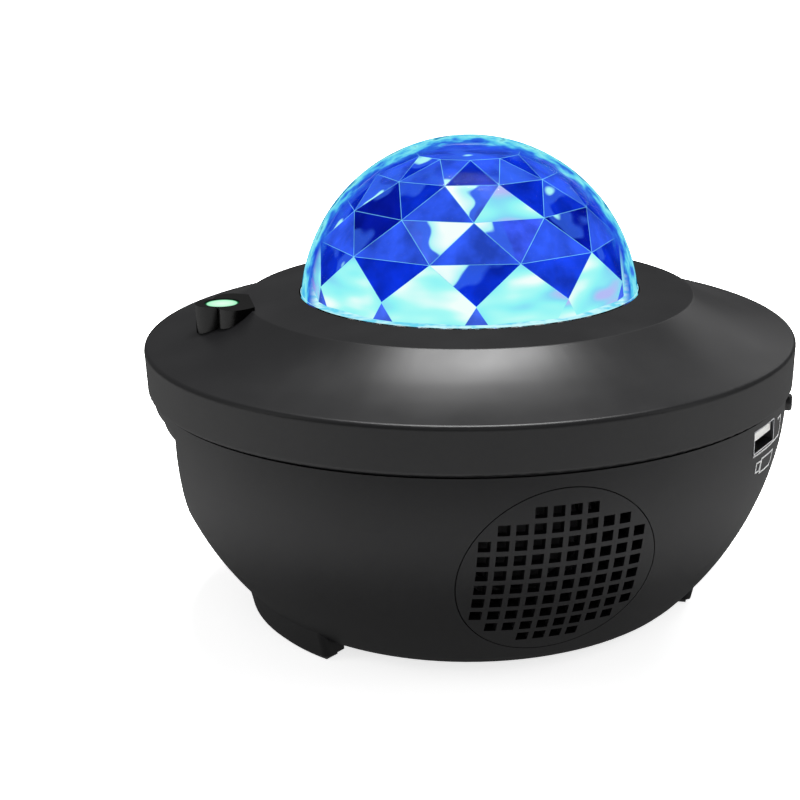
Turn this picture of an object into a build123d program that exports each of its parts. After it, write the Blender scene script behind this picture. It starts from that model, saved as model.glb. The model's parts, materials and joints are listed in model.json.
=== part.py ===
from build123d import *
import math
import os

# Star night light projector: a bowl-shaped housing under a wide cover, with a faceted dome
# that throws rippling light, a laser window on the shoulder and a loudspeaker behind a grille.
# Millimetres and degrees. The origin is on the floor at the centre, +Z is up and -Y is the front.
# An azimuth turns from the front (-Y) towards +X.

# ---- outer form ------------------------------------------------------------------------
WALL = 2.2                      # moulded wall of both housings
FIT = 0.3                       # clearance between neighbouring mouldings
SHAFT_FIT = 0.05                # radial clearance of a shaft in its bearing
FAR = 400.0                     # past every wall, for cuts that go right through
DOME_RADIUS = 43.0
PLATEAU_WIDTH = 13.8            # raised middle of the cover, from the dome to its shoulder
COVE_WIDTH = 25.7               # hollow slope, from the shoulder out to the band
COVE_SAG = 1.3                  # how far that slope is hollow
RIM_OVERHANG = 1.8              # band beyond the bowl
BAND_DRAFT = 0.4                # the band narrows this much downwards
BASE_HEIGHT = 2.4               # underside of the bowl
GRILLE_RADIUS = 23.0
GRILLE_LIFT = 7.6               # from the underside of the bowl up to the grille
GRILLE_DROP = 3.8               # from the seam between the housings down to the grille
BAND_HEIGHT = 11.5              # from the seam up to the edge of the slope
COVE_RISE = 9.9                 # from the band up to the shoulder
CROWN_RISE = 1.0                # from the shoulder up to the dome
PLATEAU_THICKNESS = 3.2
BOWL_SHOULDER = 2.3             # straight stretch of the bowl under the seam
BOWL_TURNS = (11.9, 31.9)       # degrees that the wall's upper arc and its long arc turn through
BOWL_FLARE = 0.711              # radius of the upper arc, as a share of the long arc's
BOWL_CORNER = 13.4              # radius of the turn into the flat underside
EDGE_ROUND = 1.2
LIP = 2.0                       # how far the cover's lip turns in at the seam
TONGUE = 1.5                    # thickness of the locating tongue on the bowl
TONGUE_HEIGHT = 2.4
LEDGE_TOE = 7.0                 # below the seam, where the tongue's ledge grows out of the wall
LEDGE_DEPTH = 3.0               # below the seam, where the ledge has its full width
SEAM_GROOVE = 0.6               # shadow line under the seam
PANEL_INSET = 10.7              # flat panel on the left side, in from the bowl's widest point
PANEL_DROP = 2.8                # top of the panel, below the seam

# ---- feet ------------------------------------------------------------------------------
FEET = {"left": -71.0, "right": 109.0}
FOOT_SPAN = 68.0
FOOT_MARGIN = 3.0               # outer face of a foot, beyond the screw posts in it
FOOT_DRAFT = 2.0
FOOT_THICKNESS = 6.4
FOOT_TOP = 10.0
FOOT_ROUND = 1.6
PAD_THICKNESS = 1.8
PAD_RECESS = 0.6
PAD_MARGIN = 1.1

# ---- dome ------------------------------------------------------------------------------
DOME_SEAT = 1.5                 # centre of the dome, below the plateau's underside
DOME_SKIN = 1.8                 # wall at the corners of the inner facets
DOME_FACETS = 11                # corners in each ring of facets
DOME_TURN = 2.2                 # azimuth of the first corner
DOME_LATITUDES = (12.7, 25.8, 41.0, 56.3, 71.0)
DOME_SKIRT_LATITUDE = 6.5       # where the facets turn upright
DOME_NOTCH = 4.1                # half the width of the small triangle at each lower corner
DOME_FLANGE = 4.0
DOME_FLANGE_THICKNESS = 2.0

# ---- laser hood on the shoulder --------------------------------------------------------
LASER_AZIMUTH = -76.5
HOOD_DROP = 0.1                 # top of the hood, below the plateau's crown
HOOD_OVERLAP = 1.3              # inner end of the hood, inside the plateau's shoulder
HOOD_LENGTH = 13.9
HOOD_WAIST_AT = 6.5             # where the hood is widest, from its inner end
HOOD_WIDTHS = (13.8, 18.0, 9.6) # at the inner end, the waist and the outer end
WINDOW_RADIUS = 4.3
WINDOW_AT = 7.3                 # centre of the window, from the hood's inner end
WINDOW_THICKNESS = 1.6
WINDOW_SEAT = 0.9               # width of the step under the window
WINDOW_RECESS = 0.2
BEAM_ROOM = 1.2                 # opening of the cover round the window's bore

# ---- loudspeaker -----------------------------------------------------------------------
GRILLE_AZIMUTH = 15.0
GRILLE_GAP = 0.25
GRILLE_PITCH = 3.95
GRILLE_HOLE = 2.7
GRILLE_RIM = 0.75               # least solid edge outside the holes
GRILLE_COLUMNS = (4, 8, 10, 10, 10, 10, 10, 10, 8, 4)  # holes in each row, top to bottom
DUCT_LEDGE = 0.9
DUCT_WALL = 2.0
BAFFLE_DEPTH = 34.7             # speaker's front plane, in from the bowl's widest point
BAFFLE_THICKNESS = 3.0
SPEAKER_MARGIN = 1.0            # speaker beyond the grille
SPEAKER_FLANGE = 6.0            # width of the basket's flange
FLANGE_THICKNESS = 1.2
GASKET_THICKNESS = 0.8
SURROUND_WIDTH = 3.4
SURROUND_WALL = 0.45
CONE_DEPTH = 6.0
CONE_PAPER = 0.6
COIL_RADIUS = 6.0
MAGNET_RADIUS = 13.0
MAGNET_THICKNESS = 4.0
YOKE_THICKNESS = 2.0
BASKET_PLATE = 1.4
SPEAKER_DEPTH = 18.0
SPEAKER_SCREW_INSET = 2.6       # screws, in from the flange's edge
SCREW_RADIUS = 1.25             # self-tapping screws inside the housing
SMALL_HEAD = 1.9
SCREW_ROOM = 0.2                # clearance hole beyond a screw's shank

# ---- ports and buttons on the right side -----------------------------------------------
USB_AZIMUTH = 59.5
USB_DROP = 5.1                  # centre of the port, below the seam
USB_WIDTH = 13.1
USB_SIZE = 5.7
USB_DEPTH = 14.0
USB_SHELL = 0.3
USB_TONGUE = 1.84
USB_MARGIN = 0.7                # between the tongue and the shell
USB_TONGUE_ROOT = 9.5           # where the tongue leaves its block, behind the port's mouth
BUTTONS = {"power": 81.0, "laser": 94.0, "volume_down": 107.0, "volume_up": 120.0}
BUTTON_DROP = 5.4               # below the seam
BUTTON_RADIUS = 2.2
BUTTON_PROUD = 1.6
BUTTON_TRAVEL = 0.5
BUTTON_ROUND = 0.7
BUTTON_FLANGE = 1.0             # thickness and width of the stop flange
BUTTON_INSET = 1.0              # flat seat of the flanges, in from the wall's inner face
BUTTON_STEM = 1.4
GUIDE_WALL = 1.8
BOARD_THICKNESS = 1.6
BOARD_SCREW_LENGTH = 7.0
BOARD_SCREW_HEAD = 2.2
CONTROL_BOARD_SPAN = (48.0, 138.0)
CONTROL_BOARD_GAP = 3.7         # between the board and the wall's inner face
CONTROL_BOARD_WIDTH = 11.8
CONTROL_BOARD_SCREWS = (51.0, 73.0, 127.0)
CONTROL_SCREW_INSET = 5.8       # screws, in from the board's outer edge
CONTROL_POST_RADIUS = 3.2
INLET_DROP = 15.8               # power inlet, below the seam
INLET_OFFSET = 23.0             # behind the middle of the flat panel
INLET_RADIUS = 3.3              # opening for a 5.5 mm barrel plug
INLET_BODY = (14.0, 9.0, 11.0)  # depth, width and height of the inlet socket
INLET_CHEEK = 2.5               # wall of its cradle

# ---- fixings ---------------------------------------------------------------------------
POST_AZIMUTHS = (-47.0, -99.5, 79.0, 133.0)
POST_OFFSET = 12.8              # screw posts, beyond the dome
POST_RADIUS = 4.3
POST_DROP = 19.8                # where bowl posts and cover bosses meet, below the seam
HOUSING_SCREW_BITE = 11.0       # length of a screw's thread in what it holds
FRAME_SCREW_BITE = 8.0
RETAINER_SCREW_BITE = 2.6
POST_WEB = 3.0                  # left above the tunnel for the screw's head
TUNNEL_RADIUS = 3.0
BOSS_STEP = 0.6                 # cover bosses are slimmer than what they meet
FRAME_AZIMUTHS = (-20.0, 70.0, 160.0, -130.0)
FRAME_BOSS_OFFSET = 9.5         # beyond the dome
FRAME_BOSS_RADIUS = 3.2
RETAINER_AZIMUTHS = (15.0, 106.0, 200.0, -72.0)
RETAINER_OFFSET = 7.6           # beyond the dome
RETAINER_EAR = 3.4
RETAINER_THICKNESS = 2.0
RETAINER_ROOM = 0.4             # opening of the retainer beyond the facets

# ---- optics and gear train -------------------------------------------------------------
FRAME_DROP = 20.5               # optics frame's plate, below the plateau's underside
FRAME_PLATE = 2.0
FRAME_MARGIN = 7.5              # plate beyond the dome
FRAME_HOLE = 20.0
FRAME_EAR = 0.4
GEAR_MODULE = 0.8
GEAR_PRESSURE_ANGLE = 20.0
GEAR_BACKLASH = 0.24
RIPPLE_GEAR_INSET = 7.0         # pitch circle of the ripple disc, inside the dome
PINION_TEETH = 12
GRATING_TEETH = 36
GEAR_LIFT = 3.0                 # gears above the frame's plate
GEAR_THICKNESS = 3.5
PINION_AZIMUTH = 150.0
PINION_HUB = 2.8
CUP_INSET = 8.6                 # cup of the ripple lens, inside the dome
CUP_WALL = 1.4
CUP_RISE = 4.0                  # from the teeth up to the lens
CUP_SEAT = 1.2
COLLAR_INSET = 4.4              # bearing of the ripple disc, inside the cup
COLLAR_WALL = 2.4
COLLAR_RISE = 2.0               # collar above the gear
HOOK_REACH = 1.0                # snap hooks that keep the ripple disc down
HOOK_HEIGHT = 1.7
HOOK_SPAN = 14.0
RIPPLE_LENS_THICKNESS = 2.0
RIPPLE_WAVES = 5
RIPPLE_WAVE_HEIGHT = 0.5
RIPPLE_WAVE_SHARE = 0.94        # of the lens that the waves cover
GRATING_RIM = 2.8               # toothed rim, inside its pitch circle
GRATING_HUB = 4.4
GRATING_SPOKE = 1.6
GRATING_STEP = 0.4              # the wheel is thinner than its neighbour by this, on each face
FILM_LAP = 0.9
FILM_THICKNESS = 0.2
MOTOR_SHAFT = 1.5
MOTOR_SHAFT_DEPTH = 6.0
MOTOR_SCREW_SPREAD = 4.2
GEARBOX = (12.0, 10.0, 9.0)
MOTOR_LENGTH = 15.0
MOTOR_NOSE = 2.5
BEAM_OFFSET = 8.2               # where the laser crosses the grating wheel, from its axle
LASER_RADIUS = 4.5
LASER_LENGTH = 17.0
LASER_NOSE = 1.5
LASER_DROP = 1.0                # laser's front, below the frame's plate
LASER_BLOCK = (19.4, 14.0, 11.0)
LASER_BLOCK_SHIFT = 3.6         # centre of the block, inside the beam
LASER_SCREW_SHIFT = 6.9         # screws, inside the centre of the block
LASER_SCREW_SPREAD = 4.6
AXLE_RADIUS = 2.0
AXLE_WALL = 1.4
AXLE_HEAD = 3.1
HEATSINK_RADIUS = 24.0
HEATSINK_PLATE = 2.0
HEATSINK_FIN = 1.4
HEATSINK_FIN_DEPTH = 8.0
HEATSINK_FINS = 9
LED_BOARD_RADIUS = 18.0
LED_LENS_RADIUS = 10.5
LED_LENS_HEIGHT = 9.0

# ---- main circuit board ----------------------------------------------------------------
MAIN_BOARD = (62.0, 44.0)
MAIN_BOARD_LIFT = 7.9           # above the floor inside
MAIN_BOARD_BACK = 15.0          # centre of the board, behind the centre of the body
MAIN_BOARD_MARGIN = 4.0
MAIN_POST_RADIUS = 3.0

# ---- worked out from the values above --------------------------------------------------
BASE = (Align.CENTER, Align.CENTER, Align.MIN)
CEILING = (Align.CENTER, Align.CENTER, Align.MAX)

PLATEAU_RADIUS = DOME_RADIUS + PLATEAU_WIDTH
RIM_RADIUS = PLATEAU_RADIUS + COVE_WIDTH
BOWL_RADIUS = RIM_RADIUS - RIM_OVERHANG
BOWL_INNER = BOWL_RADIUS - WALL
PANEL_OFFSET = BOWL_RADIUS - PANEL_INSET
LIP_RADIUS = RIM_RADIUS - BAND_DRAFT - WALL - LIP

GRILLE_HEIGHT = BASE_HEIGHT + GRILLE_LIFT + GRILLE_RADIUS
SEAM = GRILLE_HEIGHT + GRILLE_RADIUS + GRILLE_DROP
RIM_TOP = SEAM + BAND_HEIGHT
PLATEAU_EDGE = RIM_TOP + COVE_RISE
PLATEAU_CROWN = PLATEAU_EDGE + CROWN_RISE
PLATEAU_UNDERSIDE = PLATEAU_CROWN - PLATEAU_THICKNESS
PANEL_TOP = SEAM - PANEL_DROP
FLOOR_INSIDE = BASE_HEIGHT + WALL

DOME_CENTRE = PLATEAU_UNDERSIDE - DOME_SEAT
DOME_LOW = PLATEAU_UNDERSIDE - DOME_FLANGE_THICKNESS
HOOD_TOP = PLATEAU_CROWN - HOOD_DROP
HOOD_INNER = PLATEAU_RADIUS - HOOD_OVERLAP
HOOD_OUTER = HOOD_INNER + HOOD_LENGTH
HOOD_WAIST = HOOD_INNER + HOOD_WAIST_AT
WINDOW_PLACE = HOOD_INNER + WINDOW_AT

BAFFLE_PLACE = BOWL_RADIUS - BAFFLE_DEPTH
DUCT_RADIUS = GRILLE_RADIUS + GRILLE_GAP + DUCT_WALL
SPEAKER_RADIUS = GRILLE_RADIUS + SPEAKER_MARGIN
SPEAKER_MOUTH = SPEAKER_RADIUS - SPEAKER_FLANGE
CONE_RADIUS = SPEAKER_MOUTH - SURROUND_WIDTH
FLANGE_BACK = -GASKET_THICKNESS - FLANGE_THICKNESS
YOKE_FRONT = YOKE_THICKNESS - SPEAKER_DEPTH
MAGNET_FRONT = YOKE_FRONT + MAGNET_THICKNESS

USB_HEIGHT = SEAM - USB_DROP
BUTTON_HEIGHT = SEAM - BUTTON_DROP
BUTTON_SEAT = BOWL_INNER - BUTTON_INSET
BOARD_TOP = USB_HEIGHT - USB_SIZE / 2
CONTROL_BOARD_OUTER = BOWL_INNER - CONTROL_BOARD_GAP
CONTROL_BOARD_INNER = CONTROL_BOARD_OUTER - CONTROL_BOARD_WIDTH
CONTROL_SCREW_PLACE = CONTROL_BOARD_OUTER - CONTROL_SCREW_INSET
INLET_HEIGHT = SEAM - INLET_DROP

POST_PLACE = DOME_RADIUS + POST_OFFSET
POST_MEETING = SEAM - POST_DROP
FRAME_BOSS_PLACE = DOME_RADIUS + FRAME_BOSS_OFFSET
RETAINER_PLACE = DOME_RADIUS + RETAINER_OFFSET
FOOT_OUTER = POST_PLACE + FOOT_MARGIN

FRAME_TOP = PLATEAU_UNDERSIDE - FRAME_DROP
FRAME_BOTTOM = FRAME_TOP - FRAME_PLATE
FRAME_RADIUS = DOME_RADIUS + FRAME_MARGIN
GEAR_BOTTOM = FRAME_TOP + GEAR_LIFT
GEAR_TOP = GEAR_BOTTOM + GEAR_THICKNESS
RIPPLE_TEETH = round(2 * (DOME_RADIUS - RIPPLE_GEAR_INSET) / GEAR_MODULE)
PINION_PLACE = GEAR_MODULE * (RIPPLE_TEETH + PINION_TEETH) / 2
GRATING_PLACE = GEAR_MODULE * (RIPPLE_TEETH + GRATING_TEETH) / 2
RIPPLE_CUP_RADIUS = DOME_RADIUS - CUP_INSET
RIPPLE_LENS_RADIUS = RIPPLE_CUP_RADIUS - CUP_WALL
RIPPLE_LENS_BOTTOM = GEAR_TOP + CUP_RISE
COLLAR_RADIUS = RIPPLE_CUP_RADIUS - COLLAR_INSET
LASER_TOP = FRAME_BOTTOM - LASER_DROP
BEAM_SLOPE = (WINDOW_PLACE - GRATING_PLACE - BEAM_OFFSET) / (HOOD_TOP - GEAR_BOTTOM - GEAR_THICKNESS / 2)
MAIN_BOARD_HEIGHT = FLOOR_INSIDE + MAIN_BOARD_LIFT


# ---- helpers ---------------------------------------------------------------------------
def upright(azimuth, place=0.0, height=0.0):
    """Upright frame at a bearing: local X leads outwards."""
    return Rot(0, 0, azimuth - 90) * Pos(place, 0, height)


def facing(azimuth, place, height):
    """Sideways frame at a bearing: local Z leads outwards and local Y up."""
    angle = math.radians(azimuth)
    outward = (math.sin(angle), -math.cos(angle), 0)
    right = (math.cos(angle), math.sin(angle), 0)
    origin = (place * outward[0], place * outward[1], height)
    return Plane(origin=origin, x_dir=right, z_dir=outward).location


def disc(radius, low, high):
    return Pos(0, 0, low) * Cylinder(radius, high - low, align=BASE)


def ring(outer, inner, low, high):
    return disc(outer, low, high) - disc(inner, low - 1, high + 1)


def slab(x_size, y_size, low, high):
    return Pos(0, 0, low) * Box(x_size, y_size, high - low, align=BASE)


def turned(points):
    """Solid of revolution about Z from corner points (radius, height)."""
    return revolve(Plane.XZ * make_face(Polyline(*points, close=True)), Axis.Z)


def sector(start, end, reach, low, high):
    """Wedge between two azimuths."""
    steps = [start + (end - start) * k / 4 for k in range(5)]
    far = reach / math.cos(math.radians((end - start) / 8))
    corners = [(0, 0)] + [(far * math.sin(math.radians(a)), -far * math.cos(math.radians(a))) for a in steps]
    return Pos(0, 0, low) * extrude(make_face(Polyline(*corners, close=True)), high - low)


def group(solids):
    return Compound(children=list(solids))


def screw(head, length, head_height=1.6):
    """Pan-head screw: head under Z = 0, shank upwards."""
    drive = Pos(0, 0, -head_height) * Box(head * 1.1, 0.6, 0.8, align=BASE)
    return disc(head, -head_height, 0) + disc(SCREW_RADIUS, 0, length) - drive - Rot(0, 0, 90) * drive


# ---- outer forms -----------------------------------------------------------------------
def bowl_region(top, inset=0.0):
    """Half section of the bowl up to a height; an inset gives the inside of its wall."""
    first, second = (math.sin(math.radians(turn)) for turn in (BOWL_TURNS[0], sum(BOWL_TURNS)))
    depth = SEAM - BOWL_SHOULDER - BASE_HEIGHT - BOWL_CORNER * (1 - second)
    long_radius = depth / (BOWL_FLARE * first + second - first)
    radius = BOWL_RADIUS - inset
    shoulder = (radius, SEAM - BOWL_SHOULDER)
    upper = JernArc(shoulder, (0, -1), BOWL_FLARE * long_radius - inset, -BOWL_TURNS[0])
    lower = JernArc(upper @ 1, upper % 1, long_radius - inset, -BOWL_TURNS[1])
    corner = JernArc(lower @ 1, lower % 1, BOWL_CORNER - inset, sum(BOWL_TURNS) - 90)
    rest = Polyline(corner @ 1, (0, BASE_HEIGHT + inset), (0, top), (radius, top), shoulder)
    return make_face(Wire([upper, lower, corner] + rest.edges()))


def cover_region(bottom):
    """Half section of the cover, run past the axis; its mouth may reach below the seam."""
    edge = (RIM_RADIUS, RIM_TOP)
    shoulder = (PLATEAU_RADIUS, PLATEAU_EDGE)
    foot_of_band = (RIM_RADIUS - BAND_DRAFT, SEAM)
    back = -3 * WALL
    mouth = [foot_of_band] if bottom == SEAM else [foot_of_band, (foot_of_band[0], bottom)]
    roof = [(back, bottom), (back, PLATEAU_CROWN), (DOME_RADIUS, PLATEAU_CROWN), shoulder]
    cove = SagittaArc(shoulder, edge, -COVE_SAG)
    face = make_face(Wire([cove] + Polyline(edge, *mouth, *roof).edges()))
    rounded = [edge, shoulder] + ([foot_of_band] if bottom == SEAM else [])
    for corner in rounded:
        face = fillet(face.vertices().sort_by_distance(corner)[0], EDGE_ROUND)
    return face


def half(region):
    """The part of a section on the positive side of the axis."""
    return region & (Pos(FAR / 2, 0) * Rectangle(FAR, 2 * FAR))


def spun(region):
    return revolve(Plane.XZ * half(region), Axis.Z)


def bowl_cavity():
    """Inside of the bowl, open at the top, flat behind the side panel."""
    room = revolve(Plane.XZ * bowl_region(SEAM + WALL, WALL), Axis.Z)
    return room - side_panel(WALL, PANEL_TOP + WALL)


def bowl_outside():
    return revolve(Plane.XZ * bowl_region(SEAM), Axis.Z) - side_panel(0, PANEL_TOP)


def side_panel(inset, top):
    """Block beyond the flat panel on the left side."""
    block = Box(FAR, FAR, FAR, align=(Align.MAX, Align.CENTER, Align.MAX))
    return Pos(-PANEL_OFFSET + inset, 0, top) * block


def cover_outside():
    return spun(cover_region(SEAM))


def cover_cavity():
    room = spun(offset(cover_region(SEAM - 3 * WALL), -WALL, kind=Kind.INTERSECTION))
    return room & disc(FAR, 0, PLATEAU_UNDERSIDE)


# ---- lower housing ---------------------------------------------------------------------
def foot(centre):
    """Arc-shaped foot with a drafted outer wall and rounded corners."""
    inner = FOOT_OUTER - FOOT_THICKNESS
    low = PAD_THICKNESS - PAD_RECESS
    profile = [(inner, low), (FOOT_OUTER, low), (FOOT_OUTER + FOOT_DRAFT, FOOT_TOP), (inner, FOOT_TOP)]
    reach = FOOT_SPAN / 2
    body = turned(profile) & sector(centre - reach, centre + reach, 2 * FOOT_OUTER, 0, FOOT_TOP)
    middle = FOOT_OUTER - FOOT_THICKNESS / 2
    lines = body.edges().filter_by(GeomType.LINE)
    upright_edges = [e for e in lines if abs((e @ 1 - e @ 0).Z) > FOOT_TOP / 2]
    return fillet([e for e in upright_edges if math.hypot(e.center().X, e.center().Y) > middle], FOOT_ROUND)


def pad_form(centre, margin, low, high):
    outer = FOOT_OUTER - margin
    inner = FOOT_OUTER - FOOT_THICKNESS + margin
    reach = FOOT_SPAN / 2 - math.degrees(margin / FOOT_OUTER)
    return ring(outer, inner, low, high) & sector(centre - reach, centre + reach, 2 * FOOT_OUTER, low, high)


def foot_pad(centre):
    return pad_form(centre, PAD_MARGIN + FIT / 2, 0, PAD_THICKNESS)


def post(azimuth):
    return upright(azimuth, POST_PLACE) * disc(POST_RADIUS, PAD_THICKNESS, POST_MEETING)


def post_tunnel(azimuth):
    tunnel = disc(TUNNEL_RADIUS, -1, POST_MEETING - POST_WEB)
    return upright(azimuth, POST_PLACE) * (tunnel + disc(SCREW_RADIUS + FIT, 0, POST_MEETING + 1))


def tongue():
    """Locating tongue and the ledge that carries it round the top of the bowl."""
    outer = LIP_RADIUS - FIT
    inner = outer - TONGUE
    buried = BOWL_RADIUS - WALL + SEAM_GROOVE / 2
    return turned([(buried, SEAM - LEDGE_TOE), (inner, SEAM - LEDGE_DEPTH), (inner, SEAM + TONGUE_HEIGHT),
                   (outer, SEAM + TONGUE_HEIGHT), (outer, SEAM), (buried, SEAM)])


def speaker_duct():
    """Tube from the grille back to the baffle that the speaker is screwed to."""
    tube = disc(DUCT_RADIUS, 0, BOWL_RADIUS) - disc(SPEAKER_MOUTH, -1, BOWL_RADIUS + 1)
    tube -= disc(GRILLE_RADIUS - DUCT_LEDGE, BAFFLE_THICKNESS, BOWL_RADIUS + 1)
    for spot in speaker_screw_spots():
        tube -= spot * disc(SCREW_RADIUS, -1, BAFFLE_THICKNESS - BOSS_STEP)
    return speaker_frame() * tube


def speaker_frame():
    """Middle of the speaker's front plane, local Z outwards."""
    return facing(GRILLE_AZIMUTH, BAFFLE_PLACE, GRILLE_HEIGHT)


def grille_bore(radius):
    return speaker_frame() * disc(radius, BAFFLE_THICKNESS, BOWL_RADIUS)


def board_posts():
    """Four short posts under the main board."""
    posts = []
    for x, y in main_board_corners():
        posts.append(Pos(x, y) * disc(MAIN_POST_RADIUS, BASE_HEIGHT, MAIN_BOARD_HEIGHT))
    return posts


def main_board_corners():
    dx = MAIN_BOARD[0] / 2 - MAIN_BOARD_MARGIN
    dy = MAIN_BOARD[1] / 2 - MAIN_BOARD_MARGIN
    return [(sx * dx, MAIN_BOARD_BACK + sy * dy) for sx in (-1, 1) for sy in (-1, 1)]


def control_posts():
    """Posts on the bowl's wall that carry the arc-shaped control board."""
    bottom = BOARD_TOP - BOARD_THICKNESS
    form = disc(CONTROL_POST_RADIUS, 0, bottom)
    return [upright(a, CONTROL_SCREW_PLACE) * form for a in CONTROL_BOARD_SCREWS]


def inlet_frame(inset=0.0):
    """Centre of the power inlet on the flat panel, local Z outwards."""
    return facing(-90, PANEL_OFFSET - inset, INLET_HEIGHT) * Pos(-INLET_OFFSET, 0, 0)


def inlet_cradle():
    """Shelf with side cheeks that holds the power inlet behind the flat panel."""
    depth, width, height = INLET_BODY
    block = slab(width + 2 * INLET_CHEEK, height / 2 + INLET_CHEEK, -depth, WALL / 2)
    cradle = Pos(0, -(height / 2 + INLET_CHEEK) / 2) * block
    return inlet_frame(WALL) * (cradle - slab(width + FIT, height, -depth, 0) - slab(width, height, 0, WALL))


def button_guides():
    form = disc(BUTTON_RADIUS + GUIDE_WALL, 0, FAR)
    return [facing(a, BUTTON_SEAT, BUTTON_HEIGHT) * form for a in BUTTONS.values()]


def lower_housing():
    outside = bowl_outside()
    room = bowl_cavity()
    shell = outside
    for centre in FEET.values():
        shell += foot(centre)
    inner_parts = [post(a) for a in POST_AZIMUTHS] + board_posts() + control_posts() + button_guides()
    inner_parts += [speaker_duct(), inlet_cradle()]
    full = shell
    shell = shell - room
    for piece in inner_parts:
        shell += piece & full
    shell += tongue()
    shell -= ring(FAR, BOWL_RADIUS - SEAM_GROOVE, SEAM - SEAM_GROOVE, SEAM + 1)
    for a in POST_AZIMUTHS:
        shell -= post_tunnel(a)
    for centre in FEET.values():
        shell -= pad_form(centre, PAD_MARGIN, -1, PAD_THICKNESS)
    shell -= grille_bore(GRILLE_RADIUS + GRILLE_GAP) & (outside - room)
    shell -= grille_bore(GRILLE_RADIUS - DUCT_LEDGE)
    shell -= usb_frame() * slab(USB_WIDTH + FIT, USB_SIZE + FIT, -USB_DEPTH, FAR)
    for a in BUTTONS.values():
        seat = facing(a, BUTTON_SEAT, BUTTON_HEIGHT)
        shell -= seat * disc(BUTTON_RADIUS + FIT / 2, -1, FAR)
        shell -= seat * disc(BUTTON_RADIUS + BUTTON_FLANGE + FIT, -LEDGE_TOE, 0)
    shell -= inlet_frame(WALL) * disc(INLET_RADIUS, -FIT / 3, FAR)
    for x, y in main_board_corners():
        shell -= Pos(x, y) * disc(SCREW_RADIUS, FLOOR_INSIDE, MAIN_BOARD_HEIGHT + 1)
    pilot = disc(SCREW_RADIUS, BOARD_TOP - BOARD_SCREW_LENGTH, BOARD_TOP + 1)
    for a in CONTROL_BOARD_SCREWS:
        shell -= upright(a, CONTROL_SCREW_PLACE) * pilot
    return shell


# ---- cover -----------------------------------------------------------------------------
def hood_outline():
    """Plan of the laser hood in its own upright frame."""
    inner, waist, outer = (width / 2 for width in HOOD_WIDTHS)
    tip_start = HOOD_OUTER - outer
    belly = Spline((HOOD_INNER, -inner), (HOOD_WAIST, -waist), (tip_start, -outer))
    tip = ThreePointArc((tip_start, -outer), (HOOD_OUTER, 0), (tip_start, outer))
    other = Spline((tip_start, outer), (HOOD_WAIST, waist), (HOOD_INNER, inner))
    return make_face(Wire([belly, tip, other, Line((HOOD_INNER, inner), (HOOD_INNER, -inner))]))


def cover_bosses():
    """Screw bosses under the cover, for the housing, the optics frame and the dome's retainer."""
    post_radius = POST_RADIUS - BOSS_STEP
    ear_radius = RETAINER_EAR - BOSS_STEP
    made = [upright(a, POST_PLACE) * disc(post_radius, POST_MEETING, PLATEAU_CROWN) for a in POST_AZIMUTHS]
    for a in FRAME_AZIMUTHS:
        made.append(upright(a, FRAME_BOSS_PLACE) * disc(FRAME_BOSS_RADIUS, FRAME_TOP, PLATEAU_CROWN))
    for a in RETAINER_AZIMUTHS:
        made.append(upright(a, RETAINER_PLACE) * disc(ear_radius, DOME_LOW, PLATEAU_CROWN))
    return made


def upper_cover():
    outside = cover_outside()
    shell = outside - cover_cavity()
    tall = outside + disc(POST_PLACE + POST_RADIUS, POST_MEETING, SEAM + 1)
    for boss in cover_bosses():
        shell += boss & tall
    shell += ring(RIM_RADIUS - BAND_DRAFT - WALL / 2, LIP_RADIUS, SEAM, SEAM + WALL)
    shell -= disc(DOME_RADIUS + FIT, 0, FAR)
    shell -= upright(LASER_AZIMUTH, WINDOW_PLACE) * disc(WINDOW_RADIUS + BEAM_ROOM, SEAM, FAR)
    for pilot in cover_pilots():
        shell -= pilot
    return shell


def cover_pilots():
    """Screw holes in the cover's bosses."""
    post = disc(SCREW_RADIUS, POST_MEETING - 1, POST_MEETING + HOUSING_SCREW_BITE + 1)
    frame = disc(SCREW_RADIUS, FRAME_TOP - 1, FRAME_TOP + FRAME_SCREW_BITE + 1)
    ear = disc(SCREW_RADIUS, DOME_LOW - 1, DOME_LOW + RETAINER_SCREW_BITE + FIT)
    made = [upright(a, POST_PLACE) * post for a in POST_AZIMUTHS]
    made += [upright(a, FRAME_BOSS_PLACE) * frame for a in FRAME_AZIMUTHS]
    return made + [upright(a, RETAINER_PLACE) * ear for a in RETAINER_AZIMUTHS]


def laser_hood():
    """Nose on the shoulder that sits on the cover's slope, with a stepped bore for its window."""
    block = upright(LASER_AZIMUTH, 0, SEAM) * extrude(hood_outline(), HOOD_TOP - SEAM)
    block -= cover_outside()
    bore = disc(WINDOW_RADIUS - WINDOW_SEAT, 0, FAR) + disc(WINDOW_RADIUS, HOOD_TOP - WINDOW_THICKNESS, FAR)
    block -= upright(LASER_AZIMUTH, WINDOW_PLACE) * bore
    return block.solids().sort_by(Axis.Z)[-1]


def laser_window():
    pane = disc(WINDOW_RADIUS - SHAFT_FIT, HOOD_TOP - WINDOW_THICKNESS, HOOD_TOP - WINDOW_RECESS)
    return upright(LASER_AZIMUTH, WINDOW_PLACE) * pane


# ---- dome ------------------------------------------------------------------------------
def dome_corner(latitude, azimuth):
    reach = DOME_RADIUS - DOME_SKIN
    level, around = math.radians(latitude), math.radians(azimuth)
    flat = reach * math.cos(level)
    return Vector(flat * math.sin(around), -flat * math.cos(around), DOME_CENTRE + reach * math.sin(level))


def polygon_face(points):
    return Face(Wire.make_polygon(points, close=True))


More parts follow.
